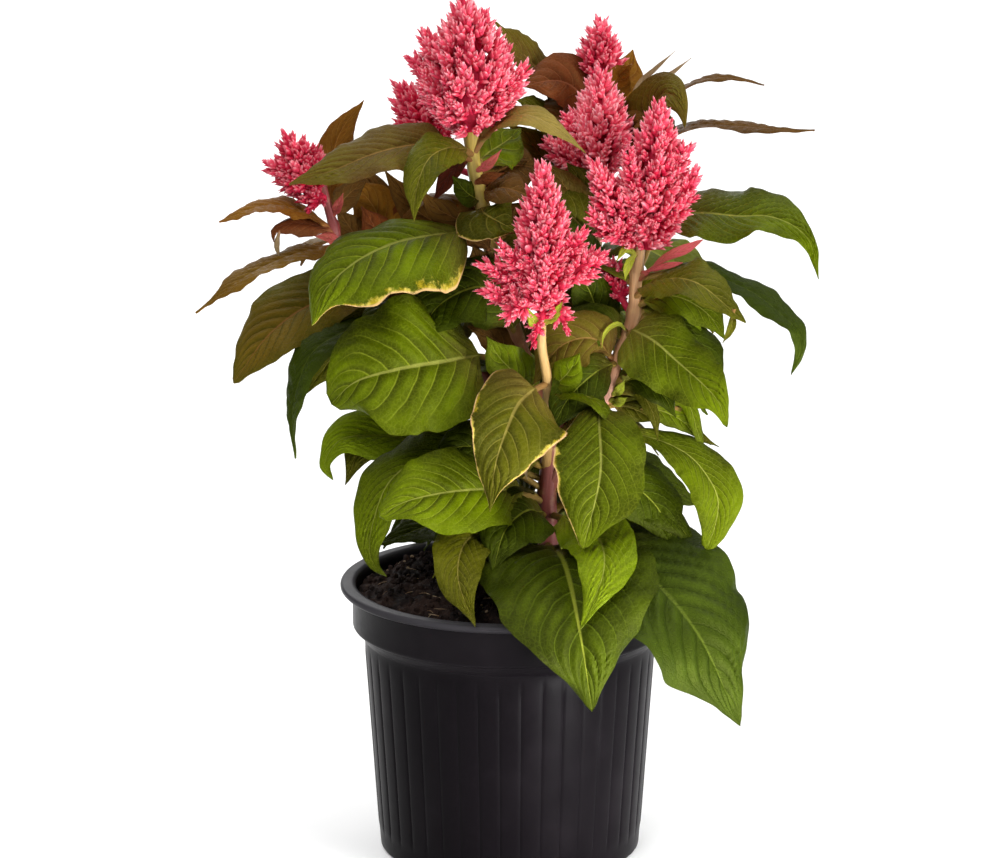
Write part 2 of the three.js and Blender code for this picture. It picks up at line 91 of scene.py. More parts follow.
# A plume's cones go from foot to tip with their widest radius. tone runs from 0, crimson, to 1, pale coral.
PLUMES = {
    "plume_tall": dict(
        tone=0.34,
        cones=[((-13, 0, 260), (-16, -1, 306), 17.5), ((-17, 0, 276), (-32, -3, 296), 6),
               ((-18, 0, 270), (-36, -3, 287), 5.5), ((-12, 0, 288), (-8, -2, 303), 4.5),
               ((-19, -4, 267), (-32, -6, 282), 6), ((-8, -4, 268), (7, -6, 284), 6)],
    ),
    # plume_tall_side's low tone is partly its own colour and partly painted shade, for a plume that stands
    # behind in shadow
    "plume_tall_side": dict(
        tone=-0.1, stalk=[(-12, 3, 243), (-20, 12, 245), (-26, 19, 251)],
        cones=[((-25, 18, 248), (-39, 27, 272), 9.5)],
    ),
    "plume_front": dict(
        tone=0.32,
        cones=[((12, -23, 210), (11, -25, 254), 9.5), ((12, -23, 202), (12, -24, 231), 9.5),
               ((9, -24, 213), (-5, -27, 226), 5), ((7, -22, 208), (-12, -24, 219), 4.2),
               ((7, -22, 203), (-11, -25, 209), 4), ((9, -25, 206), (-4, -29, 199), 4),
               ((17, -24, 213), (34, -27, 222), 6), ((16, -24, 218), (27, -27, 231), 5),
               ((12, -24, 203), (7, -28, 188), 3.2), ((14, -24, 206), (21, -27, 193), 3.2)],
    ),
    "plume_middle": dict(
        tone=0.5,
        cones=[((31, 25, 238), (32, 26, 277), 11.5), ((28, 24, 240), (11, 20, 253), 7),
               ((29, 22, 247), (18, 18, 263), 5)],
    ),
    "plume_back": dict(tone=0.3, cones=[((32, 46, 266), (32, 46, 292), 8)]),
    "plume_right": dict(
        tone=0.28,
        cones=[((48, 0, 218), (52, -1, 271), 12), ((46, -4, 222), (41, -8, 256), 5.5),
               ((52, -3, 226), (66, -6, 248), 6), ((50, -2, 236), (63, -5, 257), 5),
               ((43, -2, 219), (28, -6, 251), 8), ((41, -5, 222), (26, -9, 233), 5)],
    ),
    "plume_inner": dict(
        tone=0.2, stalk=[(43, 0, 193), (41, 3, 196), (38, 6, 201)],
        cones=[((39, 5, 198), (34, 11, 214), 5)],
    ),
    "plume_left": dict(
        tone=0.02,
        cones=[((-68, 0, 237), (-78, -1, 259), 9.5), ((-68, 0, 240), (-86, -2, 249), 6),
               ((-64, 0, 236), (-75, -3, 235), 4.5)],
    ),
}


# How a blade's width rises from its base and falls to its tip: the two powers of its outline.
OVATE = (0.62, 1.02)
ROUND = (0.5, 0.62)
EVEN = (0.8, 0.8)
HEART = (0.32, 1.2)
BROAD = (0.22, 0.8)
LATE = (1.2, 0.6)


def leaf(look, width, face, *path, **more):
    """One leaf: its look, full width, the way its upper side faces, and points from the stem to its tip.

    More can give its shape, its petiole as a share of the path, how much its margins roll down, how far
    it is skewed to one half, and how deep a cream margin is and on which half, if not on both.
    """
    return dict(look=look, width=width, face=face, path=list(path), **more)


LEAVES = {
    "left": [
        leaf("amber", 17, (0, -0.15, 1), (-61, 2, 223), (-72, -1, 231), (-84, -4, 234), (-101, -8, 229)),
        leaf("bronze", 17, (0, -0.1, 1), (-59, 3, 218), (-73, -8, 218), (-90, -14, 212), (-109, -18, 199)),
        leaf("amber", 14, (0.4, -0.9, 0.2), (-62, 3, 226), (-63, 13, 240), (-60, 15, 255), (-51, 13, 268)),
        leaf("brown_green", 31, (-0.3, -0.6, 0.7), (-36, 6, 200), (-67, 8, 197), (-84, 3, 187),
             (-97, -2, 170), shape=EVEN),
        leaf("glaucous", 16, (-0.6, -0.5, 0.6), (-24, 6, 187), (-49, -1, 191), (-59, -6, 189),
             (-69, -10, 183), (-74, -13, 172), (-76, -14, 160), (-75, -15, 146)),
        leaf("amber", 20, (-0.2, -0.9, 0.4), (-44, 6, 206), (-47, 14, 228), (-57, 16, 240)),
        leaf("olive", 30, (-0.2, 0.5, 0.85), (-30, 6, 194), (-38, 28, 204), (-48, 46, 192), (-52, 56, 174)),
    ],
    "main": [
        leaf("olive_bronze", 25, (0, -0.5, 0.85), (-13, 1, 249), (-28, -6, 256), (-38, -11, 256),
             (-48, -15, 254), (-59, -18, 250), (-69, -20, 247), (-76, -21, 245)),
        leaf("olive", 16, (-0.2, -0.8, 0.5), (-13, 1, 251), (-20, -11, 256), (-28, -22, 254),
             (-32, -28, 245), (-33, -30, 234)),
        leaf("green", 44, (0, -0.45, 0.9), (-9, 4, 224), (-28, -13, 225), (-41, -22, 224), (-54, -30, 219),
             (-64, -35, 210), (-68, -37, 199), roll=0.35, cream=1.1, cream_side=-1),
        leaf("green", 20, (0, -0.8, 0.6), (-12, 2, 247), (-8, 8, 250), (-2, 13, 253), (4, 18, 257)),
        leaf("olive", 24, (-0.2, -0.6, 0.8), (-10, 4, 231), (-8, -6, 231), (2, -9, 226), cream=0.6,
             cream_side=1),
        leaf("green", 49, (-0.1, -0.9, 0.45), (6, 5, 172), (-9, -4, 180), (-24, -16, 181), (-40, -24, 180),
             (-54, -26, 176), (-62, -24, 168), shape=ROUND, petiole=0.27),
        leaf("bright", 30, (-0.1, -0.6, 0.8), (13, 0, 134), (-14, 3, 143), (-32, 2, 148), (-48, -1, 151),
             (-60, -5, 150), (-65, -8, 142), (-62, -10, 137)),
        leaf("green", 26, (-0.3, -0.6, 0.7), (13, 0, 130), (-14, -8, 148), (-31, -18, 147), (-42, -24, 140),
             (-47, -27, 129), (-49, -30, 118), (-47, -33, 112), (-43, -38, 110)),
        leaf("green", 33, (0, -0.8, 0.6), (13, 0, 126), (2, -12, 133), (-11, -27, 138), (-25, -36, 139),
             (-37, -41, 137), (-45, -44, 133), shape=ROUND, petiole=0.2),
        leaf("dark_and_shaded", 24, (-0.1, -0.4, 0.9), (13, 0, 120), (-21, -2, 120), (-48, -6, 112)),
        leaf("olive", 19, (0, -0.8, 0.6), (13, 0, 116), (-14, -32, 122), (-18, -50, 113), (-12, -63, 99),
             petiole=0.35),
        leaf("dark_and_shaded", 60, (0.05, -0.6, 0.8), (13, 0, 111), (19, -38, 114), (24, -68, 97), (28, -74, 72)),
        leaf("bright", 25, (0, -0.7, 0.7), (14, 0, 122), (30, -36, 124), (32, -58, 117), (24, -73, 101)),
        leaf("glaucous", 62, (0.4, -0.6, 0.6), (14, 0, 105), (42, -22, 109), (64, -42, 92), (80, -46, 58)),
        leaf("dark_and_shaded", 28, (0.1, -0.5, 0.9), (13, 1, 131), (30, 8, 136), (45, 12, 134), (56, 16, 127),
             (70, 20, 119)),
        leaf("green", 34, (-0.2, 0.5, 0.85), (12, 2, 122), (-8, 30, 128), (-28, 52, 116), (-36, 64, 96)),
        leaf("dark_and_shaded", 46, (0, 0.6, 0.8), (13, 3, 116), (16, 38, 118), (20, 62, 104), (22, 76, 80)),
        leaf("green", 40, (0.4, 0.4, 0.8), (14, 3, 109), (40, 26, 114), (58, 44, 101), (66, 54, 76)),
    ],
    "right": [
        leaf("green", 30, (0, -0.5, 0.85), (45, 1, 210), (55, 16, 225), (66, 12, 228), (80, 3, 229),
             (90, -3, 230), (99, -8, 227), (104, -11, 222), (107, -14, 210), shape=HEART, petiole=0.28),
        leaf("glaucous", 17, (0.3, -0.3, 0.9), (44, 1, 207), (67, 0, 210), (77, 0, 206), (86, -2, 202),
             (94, -5, 196), (100, -8, 190), (101, -10, 183), (98, -11, 175)),
        leaf("olive", 24, (0, -0.4, 0.9), (44, -1, 201), (52, -12, 209), (64, -24, 211), (81, -33, 199)),
        leaf("green", 24, (0.2, -0.4, 0.9), (43, 0, 194), (58, 6, 199), (72, 10, 191)),
        leaf("green", 29, (0.1, -0.8, 0.6), (41, -2, 187), (44, -9, 190), (50, -14, 188), (58, -19, 182),
             (66, -25, 176), (72, -30, 170), (75, -33, 162), shape=BROAD, petiole=0.12, skew=0.12),
        leaf("green", 32, (0, -0.85, 0.5), (33, -5, 163), (31, -22, 163), (31, -42, 147), (25, -53, 124),
             shape=EVEN, cream=0.7, cream_side=1),
        leaf("green", 19, (0.2, -0.7, 0.6), (26, -4, 151), (46, -1, 151), (62, -4, 145), (69, -7, 138),
             (73, -10, 130), (72, -13, 121), (69, -15, 113), shape=LATE),
        leaf("green", 28, (0.3, 0.2, 0.9), (37, -4, 177), (54, 14, 188), (67, 26, 180), (75, 34, 164)),
    ],
    "front": [
        leaf("olive", 34, (0.1, -0.85, 0.5), (13, -15, 173), (8, -21, 172), (3, -27, 169), (-1, -34, 162),
             (-5, -41, 151), (-7, -49, 136), shape=HEART, skew=-0.15, cream=0.7),
    ],
    "middle": [
        leaf("brown", 17, (0, -0.1, 1), (31, 25, 225), (45, 36, 237), (55, 38, 249), (66, 33, 255),
             (80, 27, 256), (95, 20, 256), (107, 20, 256)),
        leaf("olive", 28, (0, -0.7, 0.7), (27, 19, 188), (14, 15, 201), (-4, 14, 206)),
    ],
    "back": [
        leaf("olive_bronze", 23, (0, -0.5, 0.85), (31, 46, 256), (20, 47, 264), (7, 42, 277),
             (-5, 34, 292)),
        leaf("amber", 19, (0, -0.8, 0.6), (31, 46, 254), (36, 51, 260), (41, 55, 269), (44, 58, 278)),
        leaf("olive", 22, (0, -0.6, 0.8), (28, 43, 234), (18, 36, 250), (8, 28, 262), (2, 22, 267)),
        leaf("olive_bronze", 21, (-0.3, -0.9, 0.3), (29, 45, 240), (41, 38, 245), (48, 30, 255),
             (51, 25, 264), (54, 20, 269), (57, 15, 269), (60, 11, 265), (61, 8, 259)),
        leaf("brown", 12, (0, -0.1, 1), (29, 44, 231), (46, 46, 250), (53, 46, 260), (61, 45, 266),
             (69, 42, 270), (79, 39, 271), (90, 37, 269)),
        leaf("olive", 36, (-0.2, 0.6, 0.8), (21, 28, 176), (-4, 44, 186), (-24, 54, 176), (-34, 58, 156)),
        leaf("green", 34, (0.3, 0.5, 0.8), (24, 36, 200), (46, 52, 208), (62, 60, 196), (70, 64, 176)),
        leaf("olive", 30, (0, 0.6, 0.8), (27, 40, 218), (22, 58, 226), (17, 70, 212), (15, 75, 192)),
    ],
}


# Small leaves, bracts and buds that have no CAD node. Each grows from the stem named first.
SMALL_LEAVES = {
    "left": [
        leaf("red_brown", 9, (-0.2, -0.6, 0.7), (-61, 2, 223), (-69, -2, 227), (-77, -6, 228),
             (-82, -8, 226), (-82, -9, 222), roll=0.5),
        leaf("tan", 2, (0, -1, 0), (-80, -8, 226), (-81, -9, 221), (-80, -9, 216)),
        leaf("brown", 14, (0.2, -0.9, 0.4), (-40, 7, 205), (-43, 15, 224), (-50, 19, 238), (-58, 20, 243)),
        leaf("red_brown", 13, (0.5, -0.8, 0.3), (-42, 7, 206), (-37, 14, 224), (-34, 15, 240)),
        leaf("red_brown", 12, (0, -0.6, 0.7), (-50, 5, 211), (-47, 8, 222), (-52, 9, 231)),
        leaf("brown", 18, (0, -0.8, 0.5), (-30, 6, 194), (-36, 0, 206), (-50, 2, 214), (-62, 0, 206)),
        leaf("olive", 20, (-0.4, -0.6, 0.6), (-26, 6, 189), (-50, 10, 187), (-66, 8, 170)),
        leaf("bract", 4.5, (0, -0.8, 0.5), (-58, 3, 218), (-63, -1, 222), (-68, -3, 223)),
        leaf("bract", 4, (0, -0.8, 0.5), (-57, 4, 215), (-61, 0, 217), (-65, -2, 217)),
        leaf("bract", 3.5, (-0.2, -0.9, 0.2), (-62, 2, 229), (-60, -1, 233), (-58, -2, 238)),
        leaf("brown", 9, (0.3, -0.8, 0.4), (-63, 2, 229), (-56, 8, 236), (-50, 10, 240)),
        leaf("dark_and_shaded", 16, (0, -0.7, 0.6), (-14, 6, 177), (-22, -4, 190), (-36, -8, 190), (-48, -10, 178)),
        leaf("olive", 13, (0.3, -0.8, 0.3), (-40, 8, 198), (-52, 3, 193), (-63, 1, 178), (-73, -3, 165)),
        leaf("olive", 18, (0, -0.8, 0.5), (-13, 3, 150), (-42, 6, 149), (-52, 0, 146), (-58, -6, 134)),
        leaf("brown", 10, (0, -0.8, 0.4), (-49, 4, 212), (-55, 8, 222), (-61, 8, 231)),
    ],
    "main": [
        leaf("maroon", 8, (-0.6, -0.7, 0), (-12, 2, 254), (-20, 1, 246), (-27, -2, 234)),
        leaf("brown", 13, (-0.3, -0.8, 0.4), (-5, 5, 214), (-15, 0, 226), (-27, -3, 234), (-31, -4, 240)),
        leaf("dark_and_shaded", 9, (0, -0.8, 0.5), (-10, 4, 234), (-15, -1, 238), (-20, -2, 244)),
        leaf("brown", 24, (0, -0.75, 0.65), (-11, 4, 237), (-2, 12, 244), (12, 18, 243)),
        leaf("brown", 15, (0, -0.6, 0.8), (-10, 4, 236), (-3, -2, 240), (8, -4, 237)),
        leaf("tan_green", 10, (0, -0.6, 0.8), (-13, 1, 251), (-5, -4, 263), (6, -9, 267), (19, -10, 260),
             (26, -11, 254)),
        leaf("bract", 3.5, (0, -0.9, 0.3), (-12, 2, 245), (-7, -4, 249), (-3, -5, 254)),
        leaf("red_brown", 4, (0.2, -0.9, 0.3), (-12, 2, 241), (-7, -4, 244), (-2, -6, 246)),
        leaf("dark_and_shaded", 26, (-0.2, -0.8, 0.5), (-2, 6, 196), (-10, -4, 205), (-24, -8, 200), (-34, -8, 186)),
        leaf("dark_and_shaded", 24, (0.1, -0.9, 0.4), (2, 6, 185), (-2, 0, 196), (-12, -2, 206), (-24, -4, 210)),
        leaf("olive", 14, (0, -0.9, 0.4), (-6, 5, 215), (2, -4, 218), (5, -8, 208), (4, -10, 196)),
        leaf("green", 18, (0, -0.8, 0.5), (9, 4, 162), (4, -6, 172), (-4, -12, 182), (-8, -16, 190)),
        leaf("dark_and_shaded", 22, (-0.2, -0.8, 0.5), (13, 1, 138), (0, -8, 146), (-18, -14, 150), (-30, -16, 144)),
        leaf("dark_and_shaded", 26, (0.1, -0.7, 0.7), (14, 0, 130), (33, -4, 138), (50, -6, 128), (60, -10, 110)),
        leaf("dark_and_shaded", 26, (0, -0.8, 0.6), (13, 0, 121), (6, -18, 128), (-2, -32, 124), (-6, -42, 112)),
        leaf("olive", 10, (0.1, -0.8, 0.5), (13, 0, 118), (-6, -20, 122), (-22, -30, 114), (-27, -34, 108)),
        leaf("dark_and_shaded", 20, (-0.4, -0.5, 0.7), (13, 0, 124), (-14, 4, 128), (-34, 6, 122), (-45, 4, 108)),
        leaf("bud", 3.2, (0, -1, 0.2), (11, -3, 148), (10, -6, 151), (9, -7, 155)),
        leaf("brown", 12, (0, -0.8, 0.5), (6, 5, 174), (-2, 3, 182), (-9, 2, 187), (-15, 0, 190)),
        leaf("brown", 12, (0, -0.8, 0.4), (-8, 6, 218), (-2, 9, 223), (3, 8, 229), (7, 6, 233)),
        leaf("brown", 10, (0, -0.8, 0.4), (-6, 5, 203), (-10, 3, 211), (-13, 1, 219)),
        leaf("dark_and_shaded", 15, (0.2, -0.7, 0.6), (14, 2, 124), (44, -4, 128), (58, -7, 121), (67, -9, 109)),
        leaf("brown", 12, (-0.2, -0.8, 0.4), (-12, 4, 222), (-30, 7, 228), (-39, 9, 237), (-44, 10, 244)),
        leaf("tan", 3, (0.3, -0.9, 0.1), (8, -4, 148), (5, -8, 143), (6, -9, 137)),
    ],
    "right": [
        leaf("dark_and_shaded", 16, (-0.2, -0.9, 0.4), (41, -1, 184), (32, -5, 192), (22, -7, 189), (13, -9, 179)),
        leaf("olive_bronze", 20, (-0.1, -0.9, 0.3), (37, -4, 177), (29, -10, 188), (18, -12, 186),
             (8, -12, 172)),
        leaf("dark_and_shaded", 17, (0.1, -0.9, 0.4), (38, -4, 178), (30, -14, 177), (20, -18, 168), (14, -20, 156)),
        leaf("bright", 16, (0.1, -0.6, 0.8), (43, 0, 199), (53, 4, 204), (62, 4, 197), (67, 2, 188)),
        leaf("green", 18, (0.1, -0.6, 0.8), (43, 0, 197), (56, -4, 202), (68, -8, 197), (75, -12, 188)),
        leaf("dark_and_shaded", 20, (0.1, -0.7, 0.7), (40, -2, 184), (53, 4, 189), (67, 6, 180), (76, 4, 166)),
        leaf("olive", 6, (0.2, -0.9, 0.3), (33, -5, 166), (44, -2, 168), (50, -4, 160), (52, -6, 150)),
        leaf("dark_and_shaded", 8, (0.1, -0.8, 0.5), (32, -5, 162), (50, 2, 163), (62, 4, 155), (71, 4, 146)),
        leaf("green", 5, (0.3, -0.9, 0.2), (50, 2, 163), (62, 2, 162), (66, 0, 152), (69, 0, 142)),
        leaf("olive", 4, (0.3, -0.9, 0.2), (56, 3, 160), (64, 3, 158), (67, 2, 150), (74, 1, 146)),
        leaf("dark_and_shaded", 12, (0.2, -0.8, 0.5), (34, -5, 167), (44, -8, 173), (53, -10, 168), (58, -12, 160)),
        leaf("olive", 9, (0, -0.8, 0.6), (34, -4, 164), (44, 0, 160), (53, 0, 155)),
        leaf("green", 9, (0.2, -0.8, 0.4), (46, 0, 161), (54, 1, 159), (61, 2, 155), (66, 2, 149)),
        leaf("bract", 3.6, (0, -0.9, 0.4), (45, -1, 207), (54, -6, 216), (60, -8, 219), (67, -9, 223),
             shape=LATE),
        leaf("bract", 2.6, (0, -0.8, 0.6), (45, -1, 209), (53, -7, 213), (60, -10, 215), shape=LATE),
        leaf("bud", 3.4, (0, -1, 0.2), (36, -6, 167), (38, -9, 169), (40, -10, 173)),
        leaf("bud", 3.6, (0.3, -0.9, 0.3), (35, -6, 165), (38, -9, 165), (41, -11, 167)),
        leaf("bud", 3, (-0.3, -0.9, 0.3), (44, -2, 216), (40, -6, 219), (37, -7, 215)),
        leaf("bud", 3, (0, -1, 0), (44, -2, 217), (41, -6, 213), (40, -7, 208)),
        leaf("bud", 1.8, (-0.2, -0.9, 0.3), (41, -3, 189), (37, -9, 193), (33, -11, 190), (32, -12, 185)),
        leaf("olive", 3, (0.2, -0.9, 0.3), (77, -30, 203), (76, -32, 197), (73, -34, 192)),
    ],
    "front": [
        leaf("green", 12, (0, -0.9, 0.4), (13, -13, 170), (20, -20, 178), (24, -24, 186)),
        leaf("bud", 4, (0, -1, 0.2), (11, -23, 196), (15, -26, 200), (18, -27, 205)),
        leaf("bud", 4, (0, -1, 0.2), (11, -23, 194), (8, -27, 198), (6, -28, 203)),
    ],
    "middle": [
        leaf("dark_and_shaded", 18, (-0.1, -0.9, 0.4), (28, 21, 198), (24, 12, 212), (16, 6, 222), (8, 4, 224)),
        leaf("olive", 18, (0, -0.9, 0.4), (30, 24, 213), (24, 14, 224), (15, 10, 232), (6, 10, 232)),
        leaf("dark_and_shaded", 18, (0.1, -0.9, 0.4), (26, 18, 180), (30, 6, 194), (26, 0, 206), (20, -2, 214)),
        leaf("olive", 14, (0.1, -0.9, 0.4), (31, 25, 222), (26, 16, 236), (20, 12, 246)),
        leaf("olive_bronze", 13, (0, -0.9, 0.3), (28, 20, 218), (22, 14, 233), (17, 10, 241), (13, 8, 247)),
    ],
    "back": [
        leaf("red_brown", 22, (0, -0.8, 0.6), (31, 45, 258), (19, 38, 270), (4, 30, 270)),
        leaf("brown", 18, (-0.1, -0.8, 0.6), (30, 45, 250), (18, 34, 258), (6, 26, 257)),
        leaf("amber", 12, (0.3, -0.8, 0.5), (31, 45, 256), (38, 40, 270), (43, 34, 277)),
        leaf("tan", 2, (0.2, -0.8, 0.5), (41, 36, 260), (46, 36, 270), (52, 34, 276), (58, 32, 282)),
        leaf("tan", 1.8, (0.2, -0.8, 0.5), (47, 36, 262), (52, 34, 270), (58, 32, 275), (64, 30, 280)),
        leaf("brown", 14, (0.2, -0.8, 0.5), (29, 44, 240), (40, 34, 250), (46, 24, 258), (50, 16, 256)),
        leaf("brown_green", 16, (0, -0.8, 0.5), (29, 43, 230), (15, 35, 240), (7, 30, 250), (-1, 28, 257)),
    ],
}

# More leaves behind and inside: stem, share of its length, azimuth, leaf length, width and look.
FILL_LEAVES = [
    ("main", 0.20, 150, 54, 30, "dark_and_shaded"), ("main", 0.24, 40, 52, 28, "green"),
    ("main", 0.27, 205, 46, 26, "dark_and_shaded"), ("main", 0.30, 95, 50, 28, "green"),
    ("main", 0.34, 165, 50, 26, "dark_and_shaded"), ("main", 0.38, 20, 44, 24, "olive"),
    ("main", 0.43, 120, 48, 24, "green"), ("main", 0.48, 190, 44, 24, "dark_and_shaded"),
    ("main", 0.54, 70, 46, 24, "olive"), ("main", 0.60, 150, 44, 22, "olive"),
    ("main", 0.67, 30, 40, 20, "green"), ("main", 0.73, 110, 42, 22, "olive"),
    ("main", 0.80, 175, 34, 18, "brown"), ("main", 0.86, 60, 36, 18, "olive_bronze"),
    ("right", 0.30, 50, 44, 24, "green"), ("right", 0.42, 340, 38, 20, "dark_and_shaded"),
    ("right", 0.52, 90, 40, 20, "green"), ("right", 0.64, 30, 36, 19, "olive"),
    ("right", 0.76, 120, 34, 18, "green"), ("left", 0.36, 110, 42, 20, "olive"),
    ("left", 0.50, 220, 34, 18, "dark_and_shaded"), ("left", 0.62, 80, 36, 18, "brown_green"),
    ("left", 0.74, 130, 34, 16, "bronze"), ("middle", 0.40, 60, 42, 22, "green"),
    ("middle", 0.62, 150, 38, 20, "olive"), ("middle", 0.80, 20, 32, 16, "olive_bronze"),
    ("back", 0.30, 110, 46, 26, "dark_and_shaded"), ("back", 0.46, 40, 44, 22, "green"),
    ("back", 0.60, 150, 42, 22, "olive"), ("back", 0.72, 80, 40, 20, "olive"),
    ("back", 0.86, 130, 34, 18, "olive_bronze"), ("front", 0.30, 200, 30, 18, "dark_and_shaded"),
    ("front", 0.45, 330, 28, 16, "green"),
]


# ---------------------------------------------------------------- vectors and curves
def unit(v):
    return v / np.maximum(np.linalg.norm(v, axis=-1, keepdims=True), 1e-9)


def catmull_rom(points, steps=24):
    """The centripetal Catmull-Rom curve through points, the same curve that the CAD model follows."""
    points = [np.array(p, float) for p in points]
    ends = [2 * points[0] - points[1], *points, 2 * points[-1] - points[-2]]
    rows = []
    for a, b, c, d in zip(ends, ends[1:], ends[2:], ends[3:]):
        ab, bc, cd = (np.linalg.norm(q - p) ** 0.5 for p, q in ((a, b), (b, c), (c, d)))
        leave = ((b - a) / ab - (c - a) / (ab + bc) + (c - b) / bc) * bc
        arrive = ((c - b) / bc - (d - b) / (bc + cd) + (d - c) / cd) * bc
        for t in np.arange(steps) / steps:
            rows.append(b + leave * t + (3 * (c - b) - 2 * leave - arrive) * t**2
                        + (2 * (b - c) + leave + arrive) * t**3)
    return np.array([*rows, points[-1]])


def along(points, shares):
    """The places at the given shares of the curve's length, and its direction there."""
    curve = catmull_rom(points)
    gone = np.concatenate([[0], np.cumsum(np.linalg.norm(np.diff(curve, axis=0), axis=1))])
    share = gone / gone[-1]
    place = np.stack([np.interp(shares, share, curve[:, k]) for k in range(3)], axis=1)
    slope = np.gradient(curve, gone, axis=0)
    direction = unit(np.stack([np.interp(shares, share, slope[:, k]) for k in range(3)], axis=1))
    return place, direction, gone[-1]


def value_at(x, table):
    """The value at x in a table of (x, value) pairs."""
    places, values = zip(*table)
    return np.interp(x, places, values)


def direction_at(angle, a, b):
    """The direction at each angle from a towards b."""
    return np.cos(angle)[:, None] * a + np.sin(angle)[:, None] * b


def smooth(edge0, edge1, x):
    t = np.clip((x - edge0) / (edge1 - edge0), 0, 1)
    return t * t * (3 - 2 * t)


# ---------------------------------------------------------------- meshes
def add_object(name, data):
    obj = bpy.data.objects.new(name, data)
    bpy.context.scene.collection.objects.link(obj)
    return obj


def add_mesh(name, verts, faces, materials, face_slots=None, uvs=None, shade_smooth=True):
    """A mesh object from points in millimetres. uvs maps a UV map's name to a pair for each face corner."""
    mesh = bpy.data.meshes.new(name)
    mesh.from_pydata((np.asarray(verts) * MM).tolist(), [], [tuple(map(int, f)) for f in faces])
    for title, pairs in (uvs or {}).items():
        layer = mesh.uv_layers.new(name=title)
        layer.data.foreach_set("uv", np.asarray(pairs, np.float32).ravel())
    for material in materials:
        mesh.materials.append(material)
    if face_slots is not None:
        mesh.polygons.foreach_set("material_index", np.asarray(face_slots, np.int32))
    if shade_smooth:
        mesh.polygons.foreach_set("use_smooth", np.ones(len(mesh.polygons), bool))
    mesh.update()
    return add_object(name, mesh)


def place_piece(obj, slot, *nodes):
    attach(obj, "root")
    if nodes:
        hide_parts(*nodes)
    return obj


def ring_faces(rows, count):
    """Quads between closed rings of count points, with both ends capped."""
    i, k = np.meshgrid(np.arange(rows - 1), np.arange(count), indexing="ij")
    n = (k + 1) % count
    quads = np.stack([i * count + k, i * count + n, (i + 1) * count + n, (i + 1) * count + k], axis=-1)
    faces = [tuple(q) for q in quads.reshape(-1, 4)]
    last = (rows - 1) * count
    return faces + [tuple(range(count - 1, -1, -1)), tuple(range(last, last + count))]


class Gathered:
    """Collects parts of one mesh, whose faces each count their points from 0."""

    def __init__(self):
        self.verts, self.faces, self.uvs, self.total = [], [], [], 0

    def add(self, points, faces, uvs=None):
        self.faces += [tuple(v + self.total for v in face) for face in faces]
        self.verts.append(points)
        self.uvs.append(uvs)
        self.total += len(points)

    def points(self):
        return np.concatenate(self.verts)


# ---------------------------------------------------------------- materials
def rgb(red, green, blue):
    """A colour given in the 0 to 255 steps of a screen, as linear light."""
    def linear(c):
        c /= 255
        return c / 12.92 if c <= 0.04045 else ((c + 0.055) / 1.055) ** 2.4
    return (linear(red), linear(green), linear(blue), 1.0)


class Graph:
    """Short ways to add nodes to a new material. Each input takes a socket or a plain value."""

    def __init__(self, name, roughness, specular=0.5):
        self.material = bpy.data.materials.new(name)
        self.material.use_nodes = True
        self.tree = self.material.node_tree
        self.shader = self.tree.nodes["Principled BSDF"]
        self.shader.inputs["Roughness"].default_value = roughness
        self.shader.inputs["Specular IOR Level"].default_value = specular

    def set(self, socket, value):
        if isinstance(value, bpy.types.NodeSocket):
            self.tree.links.new(value, socket)
        else:
            socket.default_value = value

    def node(self, kind, inputs, out=0, **settings):
        """Adds a node. inputs maps a socket's name or number to its value, and out picks the output."""
        made = self.tree.nodes.new(kind)
        for key, value in settings.items():
            setattr(made, key, value)
        for key, value in inputs.items():
            self.set(made.inputs[key], value)
        return made.outputs[out]

    def math(self, operation, a, b=0.0, c=0.0):
        return self.node("ShaderNodeMath", {0: a, 1: b, 2: c}, operation=operation)

    def times(self, a, b):
        return self.math("MULTIPLY", a, b)

    def scaled(self, value, factor, offset):
        """value * factor + offset."""
        return self.math("MULTIPLY_ADD", value, factor, offset)

    def minus(self, a, b):
        return self.math("SUBTRACT", a, b)

    def clamp01(self, value):
        return self.node("ShaderNodeClamp", {0: value})

    def band(self, value, low, high):
        """0 below low, 1 above high, with a soft step between."""
        ends = {0: value, 1: low, 2: high}
        return self.node("ShaderNodeMapRange", ends, interpolation_type="SMOOTHSTEP")

    def mix(self, factor, a, b):
        return self.node("ShaderNodeMix", {0: factor, 6: a, 7: b}, out=2, data_type="RGBA")

    def over(self, color, other, mask, strength):
        """color with another laid over it where the mask is, as far as the strength says."""
        return self.mix(self.times(mask, strength), color, other)

    def noise(self, vector, scale, detail=3.0, roughness=0.55):
        inputs = {"Vector": vector, "Scale": scale, "Detail": detail, "Roughness": roughness}
        return self.node("ShaderNodeTexNoise", inputs)

    def uv(self, title):
        """The two coordinates of a UV map."""
        place = self.node("ShaderNodeUVMap", {}, uv_map=title)
        return self.part(place, 0), self.part(place, 1)

    def part(self, vector, axis):
        return self.node("ShaderNodeSeparateXYZ", {0: vector}, out=axis)

    def position(self):
        return self.node("ShaderNodeTexCoord", {}, out=3)

    def finish(self, color, roughness=None, height=None, bump=0.3, bump_depth=0.0004):
        self.set(self.shader.inputs["Base Color"], color)
        if roughness is not None:
            self.set(self.shader.inputs["Roughness"], roughness)
        if height is not None:
            inputs = {"Strength": bump, "Distance": bump_depth, "Height": height}
            self.set(self.shader.inputs["Normal"], self.node("ShaderNodeBump", inputs))
        return self.material


# ---------------------------------------------------------------- leaves
LOOK_PARTS = ("blade", "deep", "vein", "midrib", "under")
